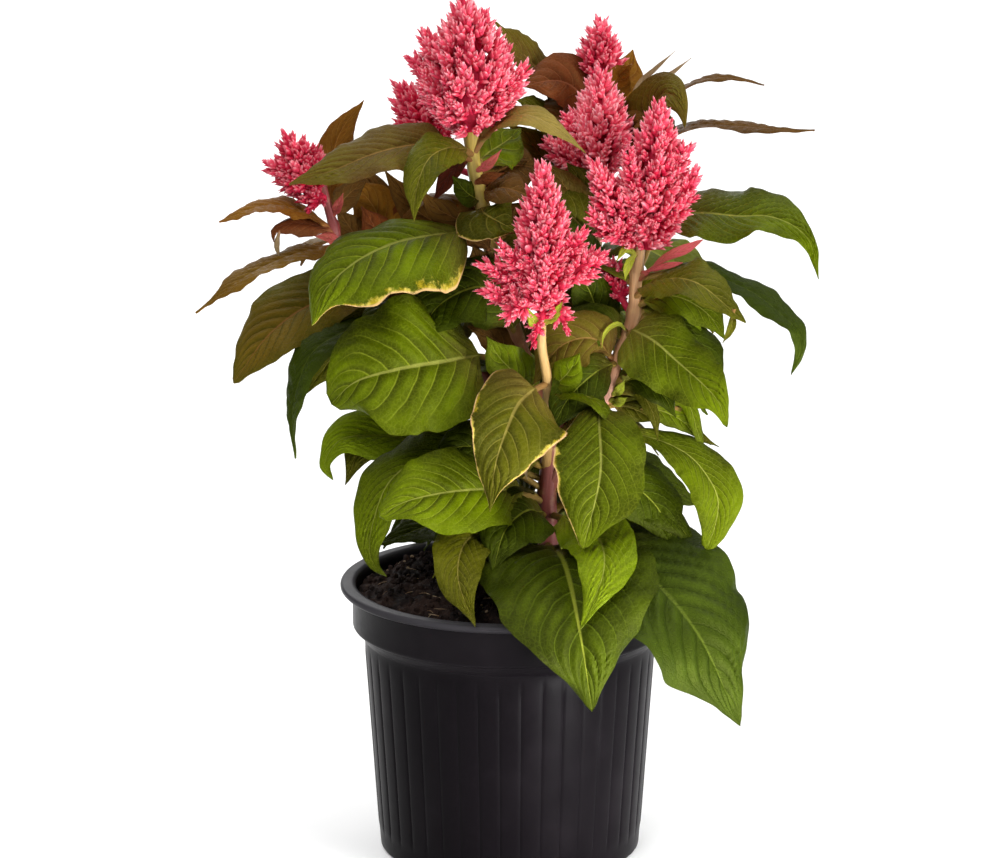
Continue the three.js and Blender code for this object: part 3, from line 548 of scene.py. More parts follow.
# Each look's colours in that order. deep is the blade's second, darker tone.
LOOKS = {
    "green": ((92, 108, 2), (48, 54, 2), (140, 152, 40), (150, 152, 70), (116, 124, 50)),
    "bright": ((126, 146, 8), (82, 98, 4), (160, 172, 56), (164, 170, 76), (136, 144, 64)),
    # this look is partly a deeper green of the leaves' own and partly painted shade, given to leaves that
    # sit in shade behind and inside the plant
    "dark_and_shaded": ((58, 70, 3), (30, 36, 2), (98, 114, 28), (140, 146, 50), (88, 98, 38)),
    "glaucous": ((58, 72, 13), (36, 47, 5), (33, 44, 5), (78, 90, 27), (104, 114, 58)),
    "olive": ((84, 84, 8), (50, 50, 4), (138, 130, 52), (150, 136, 66), (118, 106, 48)),
    "brown_green": ((106, 84, 20), (66, 62, 8), (132, 104, 46), (144, 98, 54), (116, 84, 42)),
    "olive_bronze": ((90, 80, 20), (72, 46, 18), (132, 110, 50), (140, 106, 56), (124, 84, 42)),
    "bronze": ((118, 86, 24), (82, 54, 16), (142, 106, 46), (150, 106, 54), (126, 86, 42)),
    "amber": ((136, 92, 26), (104, 62, 18), (158, 116, 50), (160, 112, 56), (142, 92, 44)),
    "brown": ((100, 66, 26), (64, 38, 16), (126, 90, 44), (138, 96, 54), (112, 74, 38)),
    "red_brown": ((120, 62, 30), (80, 36, 20), (138, 82, 48), (146, 86, 60), (126, 68, 42)),
    "maroon": ((86, 32, 24), (56, 20, 16), (106, 46, 36), (116, 52, 44), (90, 36, 30)),
    "tan": ((168, 146, 112), (120, 96, 66), (180, 160, 126), (180, 158, 120), (160, 136, 100)),
    "tan_green": ((138, 118, 58), (104, 90, 40), (160, 142, 82), (164, 142, 84), (140, 116, 66)),
    "bract": ((206, 84, 98), (150, 76, 52), (206, 130, 116), (180, 110, 84), (176, 90, 80)),
    "bud": ((160, 164, 50), (122, 132, 28), (186, 190, 96), (176, 180, 90), (156, 162, 66)),
}
STALK_TONE = (126, 70, 50)  # the stalk is halfway between this and the look's midrib
PETIOLE_HALF = 1.15
PETIOLE_ROWS = 5
PETIOLE_SHARE = 0.13  # how much of a leaf's path is bare stalk, where the leaf doesn't say
LEAF_THICKNESS = 0.4
MARGIN_ANGLE = math.radians(60)  # a leaf's margin is a sharp edge
BLADE_RISE = math.tan(math.radians(10))  # how steeply the two halves leave the midrib
BLADE_DROOP = 0.16  # how far they sink again by the margin, as a share of the half width
EDGE_WAVE = 0.06  # height of the margin's waves, as a share of the width
MIDRIB_GROOVE = 0.4
MIDRIB_HALF = 1.1
RUFFLES = ((0.045, 15, 2), (0.018, 37, 1), (0.005, 83, 0))  # depth, rate and twist of the margin's bays
VEIN_LEAN = 0.25  # how far a side vein has run forward at the margin, as a share of the blade
VEIN_BEND = 0.12
ROW_STEP = 1.15
COARSE_ROW_STEP = 2.0  # for the leaves without a CAD node, which are small or half hidden


def leaf_grid(length, width, row_step):
    """How many rows along the blade and columns across each half a leaf needs."""
    return int(np.clip(round(length / row_step), 10, 72)), int(np.clip(round(4 + width / 4), 4, 13))


def leaf_columns(half_columns):
    """Places across the blade from -1 to 1, closer together by the midrib."""
    half = (np.arange(half_columns + 1) / half_columns) ** 1.2
    return np.concatenate([-half[:0:-1], half])


def leaf_rows(blade_rows):
    """Row places: -1 to 0 along the petiole and 0 to 1 along the blade."""
    petiole = np.arange(PETIOLE_ROWS) / PETIOLE_ROWS - 1
    return np.concatenate([petiole, np.arange(blade_rows + 1) / blade_rows])


def split_quad(quad, under):
    """Two triangles. A blade's two sides are split in parallel, so that neither pokes through the other."""
    a, b, c, d = quad
    return [(a, b, d), (b, c, d)] if under else [(a, b, c), (a, c, d)]


@lru_cache(maxsize=None)
def leaf_topology(grid):
    """Faces, slots and UVs of a leaf with one grid. Each ring holds the upper side, then the underside."""
    rows, across = leaf_rows(grid[0]), leaf_columns(grid[1])
    top = len(across)
    count = 2 * top - 2
    column_share = np.concatenate([across, across[-2:0:-1]]) / 2 + 0.5
    faces, slots, leaf_uv, bake_uv = [], [], [], []
    for face in ring_faces(len(rows), count):
        places = [v % count for v in face]
        is_cap = len(face) > 4
        wraps = max(places) - min(places) > count / 2
        under = not is_cap and (wraps or max(places) > top - 1)
        for part in [face] if is_cap else split_quad(face, under):
            faces.append(part)
            slots.append(1 if under else 0)
            for v in part:
                row, place = divmod(v, count)
                u = column_share[place]
                leaf_uv.append((u, rows[row]))
                height = 0.02 + 0.96 * row / (len(rows) - 1)
                bake_uv.append((0.02 + 0.46 * u + (0.5 if under else 0), height))
    return faces, slots, {"leaf": leaf_uv, "OFBake": bake_uv}


def blade_half_width(share, width, shape):
    rise, fall = shape
    widest = rise / (rise + fall)
    peak = widest**rise * (1 - widest) ** fall
    share = np.clip(share, 0, 1)
    drip_tip = 1 - 0.3 * smooth(0.7, 0.92, share) * (1 - smooth(0.95, 1, share))
    return width / 2 * share**rise * (1 - share) ** fall / peak * drip_tip


def vein_count(length, width):
    return max(4, round(length / (3.6 + 0.08 * width)))


def leaf_relief(t, blade, half, width, veins, spec):
    """How far each place of the blade lies above the plane of the midrib."""
    phase = rng.uniform(0, 2 * math.pi, 5)
    grown = smooth(0, 0.06, blade)
    z = half * (BLADE_RISE * np.abs(t) - (BLADE_DROOP + spec.get("roll", 0)) * t**2)
    side = np.sign(t)
    # The margin waves up and down, and its very edge is crinkled.
    edge_wave = np.sin(10 * blade + phase[0] + 1.9 * side) + 0.5 * np.sin(23 * blade + phase[1] + side)
    z += grown * EDGE_WAVE * width * np.abs(t) ** 2.4 * edge_wave * (1 - blade**4)
    z += grown * 0.25 * np.abs(t) ** 5 * np.sin(61 * blade + phase[2])
    # The blade bulges between its side veins.
    side_lean = VEIN_LEAN * np.abs(t) + VEIN_BEND * t**2
    run = veins * (blade - side_lean) + 0.25 * side
    quilt = (1 - np.abs(np.cos(math.pi * run)) ** 3) * smooth(0, 0.15, np.abs(t)) * (1 - np.abs(t) ** 4)
    z += grown * (0.02 * width + 0.25) * min(1, width / 12) * quilt * smooth(1, 0.75, blade)
    # The whole blade is a little warped, and its midrib lies in a groove.
    z += grown * 0.01 * width * np.sin(7 * blade + phase[3]) * np.sin(3 * t + phase[4])
    return z - grown * MIDRIB_GROOVE * np.exp(-((t * half / MIDRIB_HALF) ** 2)) * (1 - blade)


def leaf_outline(t, blade, stalk_half, spec):
    """The half width at each row, and how far each place lies to the side of the midrib."""
    phase = rng.uniform(0, 2 * math.pi, len(RUFFLES))
    grown = smooth(0, 0.06, blade)
    outline = blade_half_width(blade, spec["width"], spec.get("shape", OVATE))
    half = np.maximum(outline, stalk_half * (1 - blade) ** 6)
    half = np.maximum(half, 0.1)
    ruffle = sum(depth * np.sin(rate * blade + start + twist * t)
                 for (depth, rate, twist), start in zip(RUFFLES, phase))
    half = half * (1 + grown * spec.get("skew", 0) * np.sign(t))
    return half, t * half * (1 + grown * np.abs(t) ** 2 * ruffle)


def leaf_thickness(t, blade, half, x, stalk_half, width):
    """How far the upper side and the underside lie from the middle: a round stalk, then a thin blade."""
    grown = smooth(0, 0.06, blade)
    round_half = np.minimum(half, stalk_half) * np.sqrt(np.clip(1 - t**2, 0, 1))
    thickness = min(LEAF_THICKNESS, 0.1 * width)
    rib = (0.7 * (1 - blade) + 0.08) * np.exp(-((x / 0.9) ** 2)) * min(1, width / 12)
    above = (1 - grown) * round_half + grown * thickness / 2
    below = (1 - grown) * round_half + grown * (thickness / 2 + rib)
    inside = (np.abs(t) < 0.999) * np.ones_like(x)
    return above * inside, below * inside


def leaf_points(spec, grid):
    """All points of one leaf, ring by ring."""
    petiole, width = spec.get("petiole", PETIOLE_SHARE), spec["width"]
    rows, across = leaf_rows(grid[0]), leaf_columns(grid[1])
    shares = np.where(rows < 0, petiole * (rows + 1), petiole + (1 - petiole) * rows)
    centre, forward, length = along(spec["path"], shares)
    side = unit(np.cross(forward, unit(np.array(spec["face"], float))))
    up = unit(np.cross(side, forward))
    blade, t = np.clip(rows, 0, 1)[:, None], across[None, :]
    stalk_half = min(PETIOLE_HALF, 0.3 * width)
    half, x = leaf_outline(t, blade, stalk_half, spec)
    z = leaf_relief(t, blade, half, width, vein_count(length * (1 - petiole), width), spec)
    above, below = leaf_thickness(t, blade, half, x, stalk_half, width)

    def at(height):
        return centre[:, None] + side[:, None] * x[..., None] + up[:, None] * height[..., None]

    return np.concatenate([at(z + above), at(z - below)[:, -2:0:-1]], axis=1).reshape(-1, 3)


def leaf_pattern(g, veins):
    """The leaf's own coordinates, its midrib and its side veins. run counts the veins along the blade."""
    across, share = g.uv("leaf")
    signed = g.scaled(across, 2.0, -1.0)
    t = g.math("ABSOLUTE", signed)
    lean = g.scaled(t, VEIN_LEAN, g.times(g.times(t, t), VEIN_BEND))
    wobble = g.scaled(g.noise(g.position(), 70.0, 2.0), 0.36, -0.18)
    offset = g.scaled(g.math("SIGN", signed), 0.25, wobble)
    run = g.math("ADD", g.times(g.minus(share, lean), float(veins)), offset)
    width = g.scaled(share, -0.04, 0.055)
    midrib = g.minus(1.0, g.band(t, g.times(width, 0.3), width))
    fade = g.band(t, 1.05, 0.25)
    line = g.times(g.minus(1.0, g.band(g.math("PINGPONG", run, 0.5), 0.01, 0.075)), fade)
    return SimpleNamespace(across=across, share=share, t=t, run=run, fade=fade, midrib=midrib, line=line)


def vein_net(g):
    """The fine net of small veins between the side veins."""
    cells = {"Vector": g.position(), "Scale": 620.0}
    to_edge = g.node("ShaderNodeTexVoronoi", cells, feature="DISTANCE_TO_EDGE")
    return g.minus(1.0, g.band(to_edge, 0.02, 0.16))


def blade_color(g, tones, pattern, under):
    """The mottled ground between the veins, and on the upper side painted crease shade, a deeper band on
    one side of each vein.
    """
    cloud = g.band(g.noise(g.position(), 36.0, 3.0), 0.36, 0.62)
    if under:
        return g.mix(cloud, tones["under"], g.mix(0.35, tones["under"], tones["deep"]))
    margin = g.band(pattern.t, 0.45, 1.0)
    mottle = g.clamp01(g.scaled(margin, 0.3, g.times(cloud, 0.7)))
    color = g.mix(mottle, tones["blade"], tones["deep"])
    # painted shade: the blade is deepened on one side of each side vein, as if the crease there lay in
    # shadow
    painted_crease_shade = g.times(g.band(g.math("FRACT", pattern.run), 0.45, 1.0), pattern.fade)
    return g.over(color, tones["deep"], painted_crease_shade, 0.8)


def cream_margin(g, color, pattern, cream, cream_side):
    """Cream and yellow blotches that run in from the margin, on one half of the blade or on both."""
    t, across = pattern.t, pattern.across
    ragged = g.noise(g.position(), 200.0, 4.0, 0.75)
    reach = g.scaled(ragged, 0.5 * cream, -0.25 * cream)
    edge = g.band(g.math("ADD", t, reach), 1.0 - 0.12 * cream, 1.0 - 0.03 * cream)
    if cream_side:
        one_half = g.band(across, 0.45, 0.6) if cream_side > 0 else g.band(across, 0.55, 0.4)
        edge = g.times(edge, one_half)
    edge = g.times(edge, g.band(pattern.share, 0.02, 0.15))
    patches = g.band(g.noise(g.position(), 260.0, 2.0), 0.4, 0.6)
    pale = g.mix(patches, rgb(190, 172, 74), rgb(150, 132, 24))
    pale = g.mix(g.band(t, 0.955, 0.985), pale, rgb(204, 166, 112))
    return g.mix(edge, color, pale)


def make_leaf_material(title, look, veins, cream, cream_side, under):
    """A leaf's upper side or underside: mottled blade, veins, midrib and, on some, a cream margin."""
    tones = {part: rgb(*color) for part, color in zip(LOOK_PARTS, LOOKS[look])}
    g = Graph(title, 0.5, 0.16)
    g.shader.inputs["Specular Tint"].default_value = (0.8, 0.85, 0.25, 1)
    pattern, net, place = leaf_pattern(g, veins), vein_net(g), g.position()
    color = blade_color(g, tones, pattern, under)
    color = g.over(color, tones["vein"], net, 0.1)
    color = g.over(color, tones["vein"], pattern.line, 0.5)
    color = g.over(color, tones["midrib"], pattern.midrib, 0.75)
    if cream:
        color = cream_margin(g, color, pattern, cream, cream_side)
    midrib_tone = LOOKS[look][LOOK_PARTS.index("midrib")]
    stalk_color = rgb(*[0.5 * (a + b) for a, b in zip(midrib_tone, STALK_TONE)])
    color = g.over(color, stalk_color, g.band(pattern.share, 0.3, 0.0), 0.25)
    color = g.mix(g.band(pattern.share, 0.02, -0.12), color, stalk_color)
    gloss = g.scaled(g.noise(place, 130.0, 3.0), 0.28, 0.5 if under else 0.34)
    grain = g.times(g.noise(place, 800.0, 3.0), 0.3)
    height = g.minus(grain, g.times(pattern.line, 0.9))
    height = g.minus(height, g.times(net, 0.3))
    return g.finish(color, gloss, height, 0.5, 0.0005)


leaf_materials = {}


def leaf_material(look, *finish):
    """The material of one look and finish, which every leaf that has both shares."""
    key = (look, *finish)
    if key not in leaf_materials:
        leaf_materials[key] = make_leaf_material(f"leaf_{look}_{len(leaf_materials)}", *key)
    return leaf_materials[key]


def make_leaf(name, spec, *nodes):
    petiole = spec.get("petiole", PETIOLE_SHARE)
    length = along(spec["path"], np.array([1.0]))[2] * (1 - petiole)
    grid = leaf_grid(length, spec["width"], ROW_STEP if nodes else COARSE_ROW_STEP)
    faces, slots, uvs = leaf_topology(grid)
    veins = vein_count(length, spec["width"])
    finish = (spec["look"], veins, spec.get("cream", 0), spec.get("cream_side", 0))
    materials = [leaf_material(*finish, False), leaf_material(*finish, True)]
    obj = add_mesh(name, leaf_points(spec, grid), faces, materials, slots, uvs)
    obj.data.set_sharp_from_angle(angle=MARGIN_ANGLE)
    return place_piece(obj, "leaf", *nodes)


FILL_ARCH = [(0, 0), (0.36, 0.18), (0.72, 0.08), (0.95, -0.2)]  # how far out and how high


def fill_leaf(stem, share, azimuth, length, width, look):
    """A leaf that grows out of a stem at a share of its length, rises a little and droops."""
    base = along(STEMS[stem]["path"], np.array([share]))[0][0]
    turn = math.radians(azimuth)
    out = np.array([math.cos(turn), math.sin(turn), 0])
    path = [tuple(base + out * length * far + np.array([0, 0, length * rise])) for far, rise in FILL_ARCH]
    return leaf(look, width, tuple(0.35 * out + np.array([0, 0, 1])), *path)


# ---------------------------------------------------------------- stems
STEM_COLORS = {
    "red_to_straw": [(0.0, (104, 48, 44)), (0.35, (132, 66, 58)), (0.55, (124, 76, 48)),
                     (0.78, (156, 130, 52)), (1.0, (200, 180, 84))],
    "pink_to_tan": [(0.0, (146, 80, 68)), (0.3, (200, 140, 122)), (0.5, (176, 124, 86)),
                    (1.0, (200, 160, 110))],
    "tan": [(0.0, (160, 124, 68)), (1.0, (208, 170, 106))],
    "red": [(0.0, (120, 60, 50)), (0.6, (122, 52, 48)), (1.0, (140, 60, 60))],
}
STEM_SIDES = 18


def stem_material(title):
    """Skin that changes from foot to top, with fine streaks along the stem."""
    g = Graph(f"stem_{title}", 0.5, 0.4)
    around, share = g.uv("stem")
    ramp = g.tree.nodes.new("ShaderNodeValToRGB")
    stops = STEM_COLORS[title]
    while len(ramp.color_ramp.elements) < len(stops):
        ramp.color_ramp.elements.new(0.5)
    for element, (place, color) in zip(ramp.color_ramp.elements, stops):
        element.position = place
        element.color = rgb(*color)
    g.set(ramp.inputs[0], share)
    vector = g.node("ShaderNodeCombineXYZ", {"X": around, "Y": g.times(share, 0.5)})
    streaks = g.noise(vector, 26.0, 4.0)
    color = g.over(ramp.outputs[0], rgb(90, 50, 40), g.band(streaks, 0.45, 0.65), 0.25)
    blotch = g.band(g.noise(g.position(), 220.0, 3.0), 0.52, 0.7)
    color = g.over(color, rgb(196, 168, 110), blotch, 0.25)
    return g.finish(color, g.scaled(streaks, 0.3, 0.35), streaks, 0.4, 0.0004)


def tube(path, radius_at, sides, rows):
    """Rings round a curve. radius_at gives the radius at each share of its length."""
    shares = np.linspace(0, 1, rows)
    centre, forward, _ = along(path, shares)
    side = unit(np.cross(forward, np.array([0.3, 1.0, 0.1])))
    up = np.cross(side, forward)
    angle = np.arange(sides) / sides * 2 * math.pi
    radius = radius_at(shares)[:, None]
    lobes = 1 + 0.05 * np.cos(5 * angle)[None, :]
    reach = (radius * lobes)[..., None]
    points = (centre[:, None] + side[:, None] * np.cos(angle)[None, :, None] * reach
              + up[:, None] * np.sin(angle)[None, :, None] * reach)
    return points.reshape(-1, 3)


def tube_uvs(faces, sides, rows):
    """Round the tube and along it. The faces that close the ring run on past 1."""
    pairs = []
    for face in faces:
        places = [v % sides for v in face]
        wraps = len(face) == 4 and max(places) - min(places) > 1
        for v in face:
            place = v % sides
            u = (place + (sides if wraps and place == 0 else 0)) / sides
            pairs.append((u, (v // sides) / (rows - 1)))
    return pairs


def make_stem(name, spec):
    low, high = spec["radii"]
    rows = 14 * len(spec["path"])

    def radius_at(share):
        radius = low + (high - low) * share
        for place, bulge in spec["knots"]:
            radius = radius * (1 + bulge * np.exp(-(((share - place) / 0.018) ** 2)))
        return radius * (1 + 0.02 * np.sin(31 * share))

    faces = ring_faces(rows, STEM_SIDES)
    uvs = tube_uvs(faces, STEM_SIDES, rows)
    points = tube(spec["path"], radius_at, STEM_SIDES, rows)
    obj = add_mesh(f"stem_{name}_fine", points, faces, [stem_material(spec["colors"])], uvs={"stem": uvs})
    return place_piece(obj, "stem", f"stem_{name}")


# ---------------------------------------------------------------- plumes
# From a cone's foot to its tip: its radius, and the climb and the size of its spikelets.
PLUME_PROFILE = [(0, 0.5), (0.12, 0.85), (0.28, 1), (0.5, 0.84), (0.7, 0.58), (0.87, 0.3), (1, 0.08)]
PLUME_MEAN = 0.68  # the mean radius, as a share of the widest
SPIKELET_CLIMB = [(0, -0.1), (0.25, 0.5), (0.7, 1.1), (1, 3.0)]
SPIKELET_SIZE = [(0, 0.8), (0.3, 1.0), (1, 0.8)]
SPIKELET_LENGTH = 9.0
SPIKELET_SPACING = 4.35
SPIKELET_SUNK = 0.75  # how much of a spikelet's reach lies inside the cone
TEPALS = 9  # in each spikelet
TEPAL_SIDES = 5
TEPAL_RINGS = [(0.0, 0.3), (0.35, 0.52), (0.72, 0.3), (1.0, 0.02)]  # half widths from foot to point
TEPAL_FLATNESS = 0.55
TEPAL_BEND = 0.16
GOLDEN_ANGLE = math.pi * (3 - 5**0.5)
PLUME_STALK_RADIUS = 1.2
PLUME_STALK_TONE = 0.2
# painted shade: the core is coloured deep crimson so that the gaps between spikelets read as deep shadow
CORE_SHADE_TONE = 0.05


def plume_material():
    """Crimson to coral florets whose tips fade to silvery pink."""
    g = Graph("plume", 0.6, 0.25)
    tone, tip = g.uv("floret")
    color = g.mix(g.band(tone, 0.0, 0.5), rgb(186, 14, 56), rgb(230, 80, 106))
    color = g.mix(g.band(tone, 0.5, 1.0), color, rgb(240, 140, 152))
    fine = g.noise(g.position(), 700.0, 2.0)
    color = g.over(color, rgb(232, 60, 92), g.band(fine, 0.4, 0.7), 0.25)
    color = g.over(color, rgb(214, 30, 74), g.band(tip, 0.35, 0.0), 0.35)
    faded = g.times(g.band(tip, 0.55, 1.0), g.scaled(tone, 0.5, 0.25))
    color = g.mix(g.clamp01(faded), color, rgb(252, 208, 210))
    g.shader.inputs["Subsurface Weight"].default_value = 0.25
    g.shader.inputs["Subsurface Radius"].default_value = (0.002, 0.0006, 0.0005)
    return g.finish(color, None, fine, 0.25, 0.0003)


def tepal_template():
    """One pointed floret leaf along +Z, one long and one wide, that bends a little outwards."""
    points, tips = [], []
    for share, half in TEPAL_RINGS:
        for k in range(TEPAL_SIDES):
            angle = 2 * math.pi * k / TEPAL_SIDES
            outwards = TEPAL_FLATNESS * half * math.sin(angle) + TEPAL_BEND * share**3
            points.append((half * math.cos(angle), outwards, share))
            tips.append(share)
    faces = ring_faces(len(TEPAL_RINGS), TEPAL_SIDES)
    corners = [v for face in faces for v in face]
    return np.array(points), faces, np.array([tips[v] for v in corners])


def spiral_shares(count):
    """Heights of the spikelets, which stand closer together where the cone is wide."""
    samples = np.linspace(0, 1, 200)
    weight = np.cumsum(value_at(samples, PLUME_PROFILE) + 0.1)
    return np.interp((np.arange(count) + 0.5) / count, weight / weight[-1], samples)


def spikelets_on(foot, tip, radius):
    """Feet, directions, sizes and heights of the spikelets on one cone, in a spiral from foot to tip."""
    foot, tip = np.array(foot, float), np.array(tip, float)
    height = np.linalg.norm(tip - foot)
    axis = (tip - foot) / height
    count = max(9, int(2 * math.pi * radius * PLUME_MEAN * height / SPIKELET_SPACING**2))
    share = spiral_shares(count)
    angle = np.arange(count) * GOLDEN_ANGLE + rng.normal(0, 0.15, count)
    helper = [0.31, 0.2, 0.93] if abs(axis[2]) < 0.9 else [1.0, 0, 0]
    across = unit(np.cross(axis, np.array(helper)))
    out = direction_at(angle, across, np.cross(axis, across))
    climb = value_at(share, SPIKELET_CLIMB)[:, None] + rng.normal(0, 0.16, (count, 1))
    upright = np.array([0, 0, 0.35])
    direction = unit(out + climb * axis + upright)
    size = value_at(share, SPIKELET_SIZE) * rng.uniform(0.75, 1.3, count)
    size *= min(1.0, 0.5 + radius / 22)
    reach = radius * value_at(share, PLUME_PROFILE)
    stand_out = SPIKELET_LENGTH * size * np.sum(direction * out, axis=1)
    depth = np.maximum(reach - SPIKELET_SUNK * stand_out, 0.1 * reach)
    start = foot + axis * (share * height)[:, None] + out * depth[:, None]
    start -= axis * (0.65 * SPIKELET_LENGTH * size * np.sum(direction * axis, axis=1) * share)[:, None]
    return start, direction, size, share


def tepals_of(start, direction, size, tone):
    """Feet, directions, flat sides, lengths, widths and tones of the tepals that make up every spikelet."""
    count = len(start)
    rows = []
    helper = np.where(np.abs(direction[:, 2:3]) < 0.9, [[0.0, 0, 1]], [[1.0, 0, 0]])
    across = unit(np.cross(direction, helper))
    spin = rng.uniform(0, 2 * math.pi, count)
    for k in range(TEPALS):
        share = k / (TEPALS - 1)
        out = direction_at(spin + k * GOLDEN_ANGLE, across, np.cross(direction, across))
        open_angle = np.radians(22 - 20 * share + rng.normal(0, 5, count))[:, None]
        way = direction * np.cos(open_angle) + out * np.sin(open_angle)
        foot = start + direction * (SPIKELET_LENGTH * size * (0.05 + 0.5 * share))[:, None]
        foot += out * (0.6 * size * (1 - share))[:, None]
        length = size * (4.4 - 0.3 * share) * rng.uniform(0.85, 1.25, count)
        width = size * (3.7 - 1.9 * share) * rng.uniform(0.85, 1.15, count)
        shade = np.clip(tone + rng.normal(0, 0.06, count) + 0.1 * (share - 0.5), 0.02, 0.98)
        rows.append((foot, way, out, length, width, shade))
    return [np.concatenate(part) for part in zip(*rows)]


def plume_core(foot, tip, radius):
    """The solid middle that the spikelets grow from."""
    rows, sides = 10, 14
    path = [foot, tuple((np.array(foot) + np.array(tip)) / 2), tip]

    def radius_at(share):
        return 0.5 * radius * value_at(share, PLUME_PROFILE) * (1 - 0.4 * share)

    return tube(path, radius_at, sides, rows), ring_faces(rows, sides)


def add_plain(plume, points, faces, tone):
    """Adds a core or a stalk, which has one tone all over."""
    plume.add(points, faces, np.tile([[tone, 0.3]], (sum(map(len, faces)), 1)))


def add_tepals(plume, feet, way, out, length, width, shade):
    template, faces, corner_tips = tepal_template()
    side = unit(np.cross(way, out))
    flat = np.cross(side, way)
    points = (feet[:, None] + side[:, None] * (template[None, :, 0:1] * width[:, None, None])
              + flat[:, None] * (template[None, :, 1:2] * width[:, None, None])
              + way[:, None] * (template[None, :, 2:3] * length[:, None, None]))
    size = len(template)
    all_faces = [tuple(v + k * size for v in f) for k in range(len(feet)) for f in faces]
    uvs = np.stack([np.repeat(shade, len(corner_tips)), np.tile(corner_tips, len(feet))], axis=1)
    plume.add(points.reshape(-1, 3), all_faces, uvs)


def make_plume(name, spec, material):
    plume = Gathered()
    for foot, tip, radius in spec["cones"]:
        # the core's deep crimson is painted shade in the gaps between spikelets
        add_plain(plume, *plume_core(foot, tip, radius), CORE_SHADE_TONE)
        start, direction, size, share = spikelets_on(foot, tip, radius)
        tone = spec["tone"] + rng.normal(0, 0.15, len(start)) + 0.25 * (share - 0.5)
        tone = tone + 0.3 * smooth(0.18, 0, share)
        add_tepals(plume, *tepals_of(start, direction, size, tone))
    if "stalk" in spec:
        rows, sides = 16, 10
        stalk = tube(spec["stalk"], lambda s: PLUME_STALK_RADIUS + 0 * s, sides, rows)
        add_plain(plume, stalk, ring_faces(rows, sides), PLUME_STALK_TONE)
    uvs = {"floret": np.concatenate(plume.uvs)}
    obj = add_mesh(f"{name}_fine", plume.points(), plume.faces, [material], uvs=uvs)
    return place_piece(obj, "plume", name)


# ---------------------------------------------------------------- pot
def pot_material():
    """Black polypropylene with a satin skin, fine scuffs, a trace of dust and a painted highlight round the
    top of the lip.
    """
    g = Graph("pot", 0.45, 0.04)
    place = g.position()
    scuff = g.band(g.noise(place, 90.0, 4.0, 0.65), 0.5, 0.75)
    dust = g.band(g.noise(place, 22.0, 3.0), 0.45, 0.8)
    color = g.over(rgb(13, 10, 13), rgb(19, 15, 19), scuff, 0.4)
    color = g.over(color, rgb(36, 32, 35), dust, 0.3)
    # painted highlight: a pale grey band round the top of the lip, where light from above catches it
    painted_rim_highlight = g.band(g.part(place, 2), 0.0945, 0.0975)
    color = g.over(color, rgb(82, 80, 84), painted_rim_highlight, 0.5)
    roughness = g.scaled(g.noise(place, 260.0, 3.0), 0.14, 0.28)
    return g.finish(color, roughness, g.noise(place, 1500.0, 2.0), 0.12, 0.0002)


def arc(centre, radius, start, end, steps):
    """Points of a quarter round or less, as (r, z) pairs. Angles are in degrees."""
    angles = np.radians(np.linspace(start, end, steps))
    return [(centre[0] + radius * math.cos(a), centre[1] + radius * math.sin(a)) for a in angles]


BODY_HEIGHTS = (4, 6, 7.5, 9, 11, 14, 24, 34, 44, 54, 64, 69, 72, 74, 75.5)


def pot_profile():
    """The pot's outline in (radius, height) pairs: under the floor, up the outside and down the inside."""
    p = POT
    taper = (p.body_top_radius - p.foot_radius) / (p.body_top - p.foot_round)
    foot_middle = p.foot_radius - p.foot_round
    lip_foot = p.height - p.lip_thickness
    inner = p.collar_radius - p.wall
    return [
        (0, p.foot_height),
        (foot_middle - p.foot_width, p.foot_height),
        (foot_middle - p.foot_width, 0),
        *arc((foot_middle, p.foot_round), p.foot_round, -90, 0, 5),
        *((p.foot_radius + taper * (z - p.foot_round), z) for z in BODY_HEIGHTS),
        *arc((p.body_top_radius + p.step_round, p.body_top), p.step_round, 180, 115, 4),
        (p.collar_radius - p.collar_round, p.collar_height - 2.8),
        *arc((p.collar_radius - p.collar_round, p.collar_height - 1.2), p.collar_round, -60, 0, 4),
        (p.collar_radius, lip_foot - 0.8),
        (p.collar_radius + 0.5, lip_foot),
        *arc((p.lip_radius - 1.2, p.height - p.lip_thickness / 2), p.lip_round, -85, 90, 9),
        (inner + 1.6, p.height - 0.15),
        *arc((inner + 1.2, p.height - 1.35), 1.2, 90, 180, 4),
        (inner, p.collar_height),
        (p.body_top_radius - p.wall, p.body_top),
        (p.foot_radius - p.wall, p.foot_height + 2 * p.wall),
        (p.foot_radius - 2 * p.wall, p.foot_height + p.wall),
        (0, p.foot_height + p.wall),
    ]


SIDES_PER_RIB = 12
RIBS_START = (6.5, 9.5)  # heights between which the ribs rise out of the wall
RIBS_END = (75.5, 72.5)  # and sink into it again
POT_EDGE_ANGLE = math.radians(38)


def make_pot():
    profile = pot_profile()
    sides = POT.ribs * SIDES_PER_RIB
    angle = np.arange(sides) / sides * 2 * math.pi
    scallop = np.abs(np.sin(angle * POT.ribs / 2)) ** 0.32
    outer_rows = next(k for k, (r, z) in enumerate(profile) if z > POT.body_top + 2)
    verts = []
    for row, (radius, z) in enumerate(profile):
        on_ribs = row < outer_rows and radius > POT.foot_radius
        fade = float(smooth(*RIBS_START, z) * smooth(*RIBS_END, z)) if on_ribs else 0.0
        r = np.maximum(radius, 0.01) + fade * POT.rib_depth * (scallop - 0.35)
        verts.append(np.stack([r * np.cos(angle), r * np.sin(angle), np.full(sides, z)], axis=1))
    pot = add_mesh("pot_fine", np.concatenate(verts), ring_faces(len(profile), sides), [pot_material()])
    cut_drains(pot)
    pot.data.polygons.foreach_set("use_smooth", np.ones(len(pot.data.polygons), bool))
    pot.data.set_sharp_from_angle(angle=POT_EDGE_ANGLE)
    return place_piece(pot, "pot", "pot")


CUT_RADII = (36, 50)  # a drain's cutter reaches from inside the wall to outside it


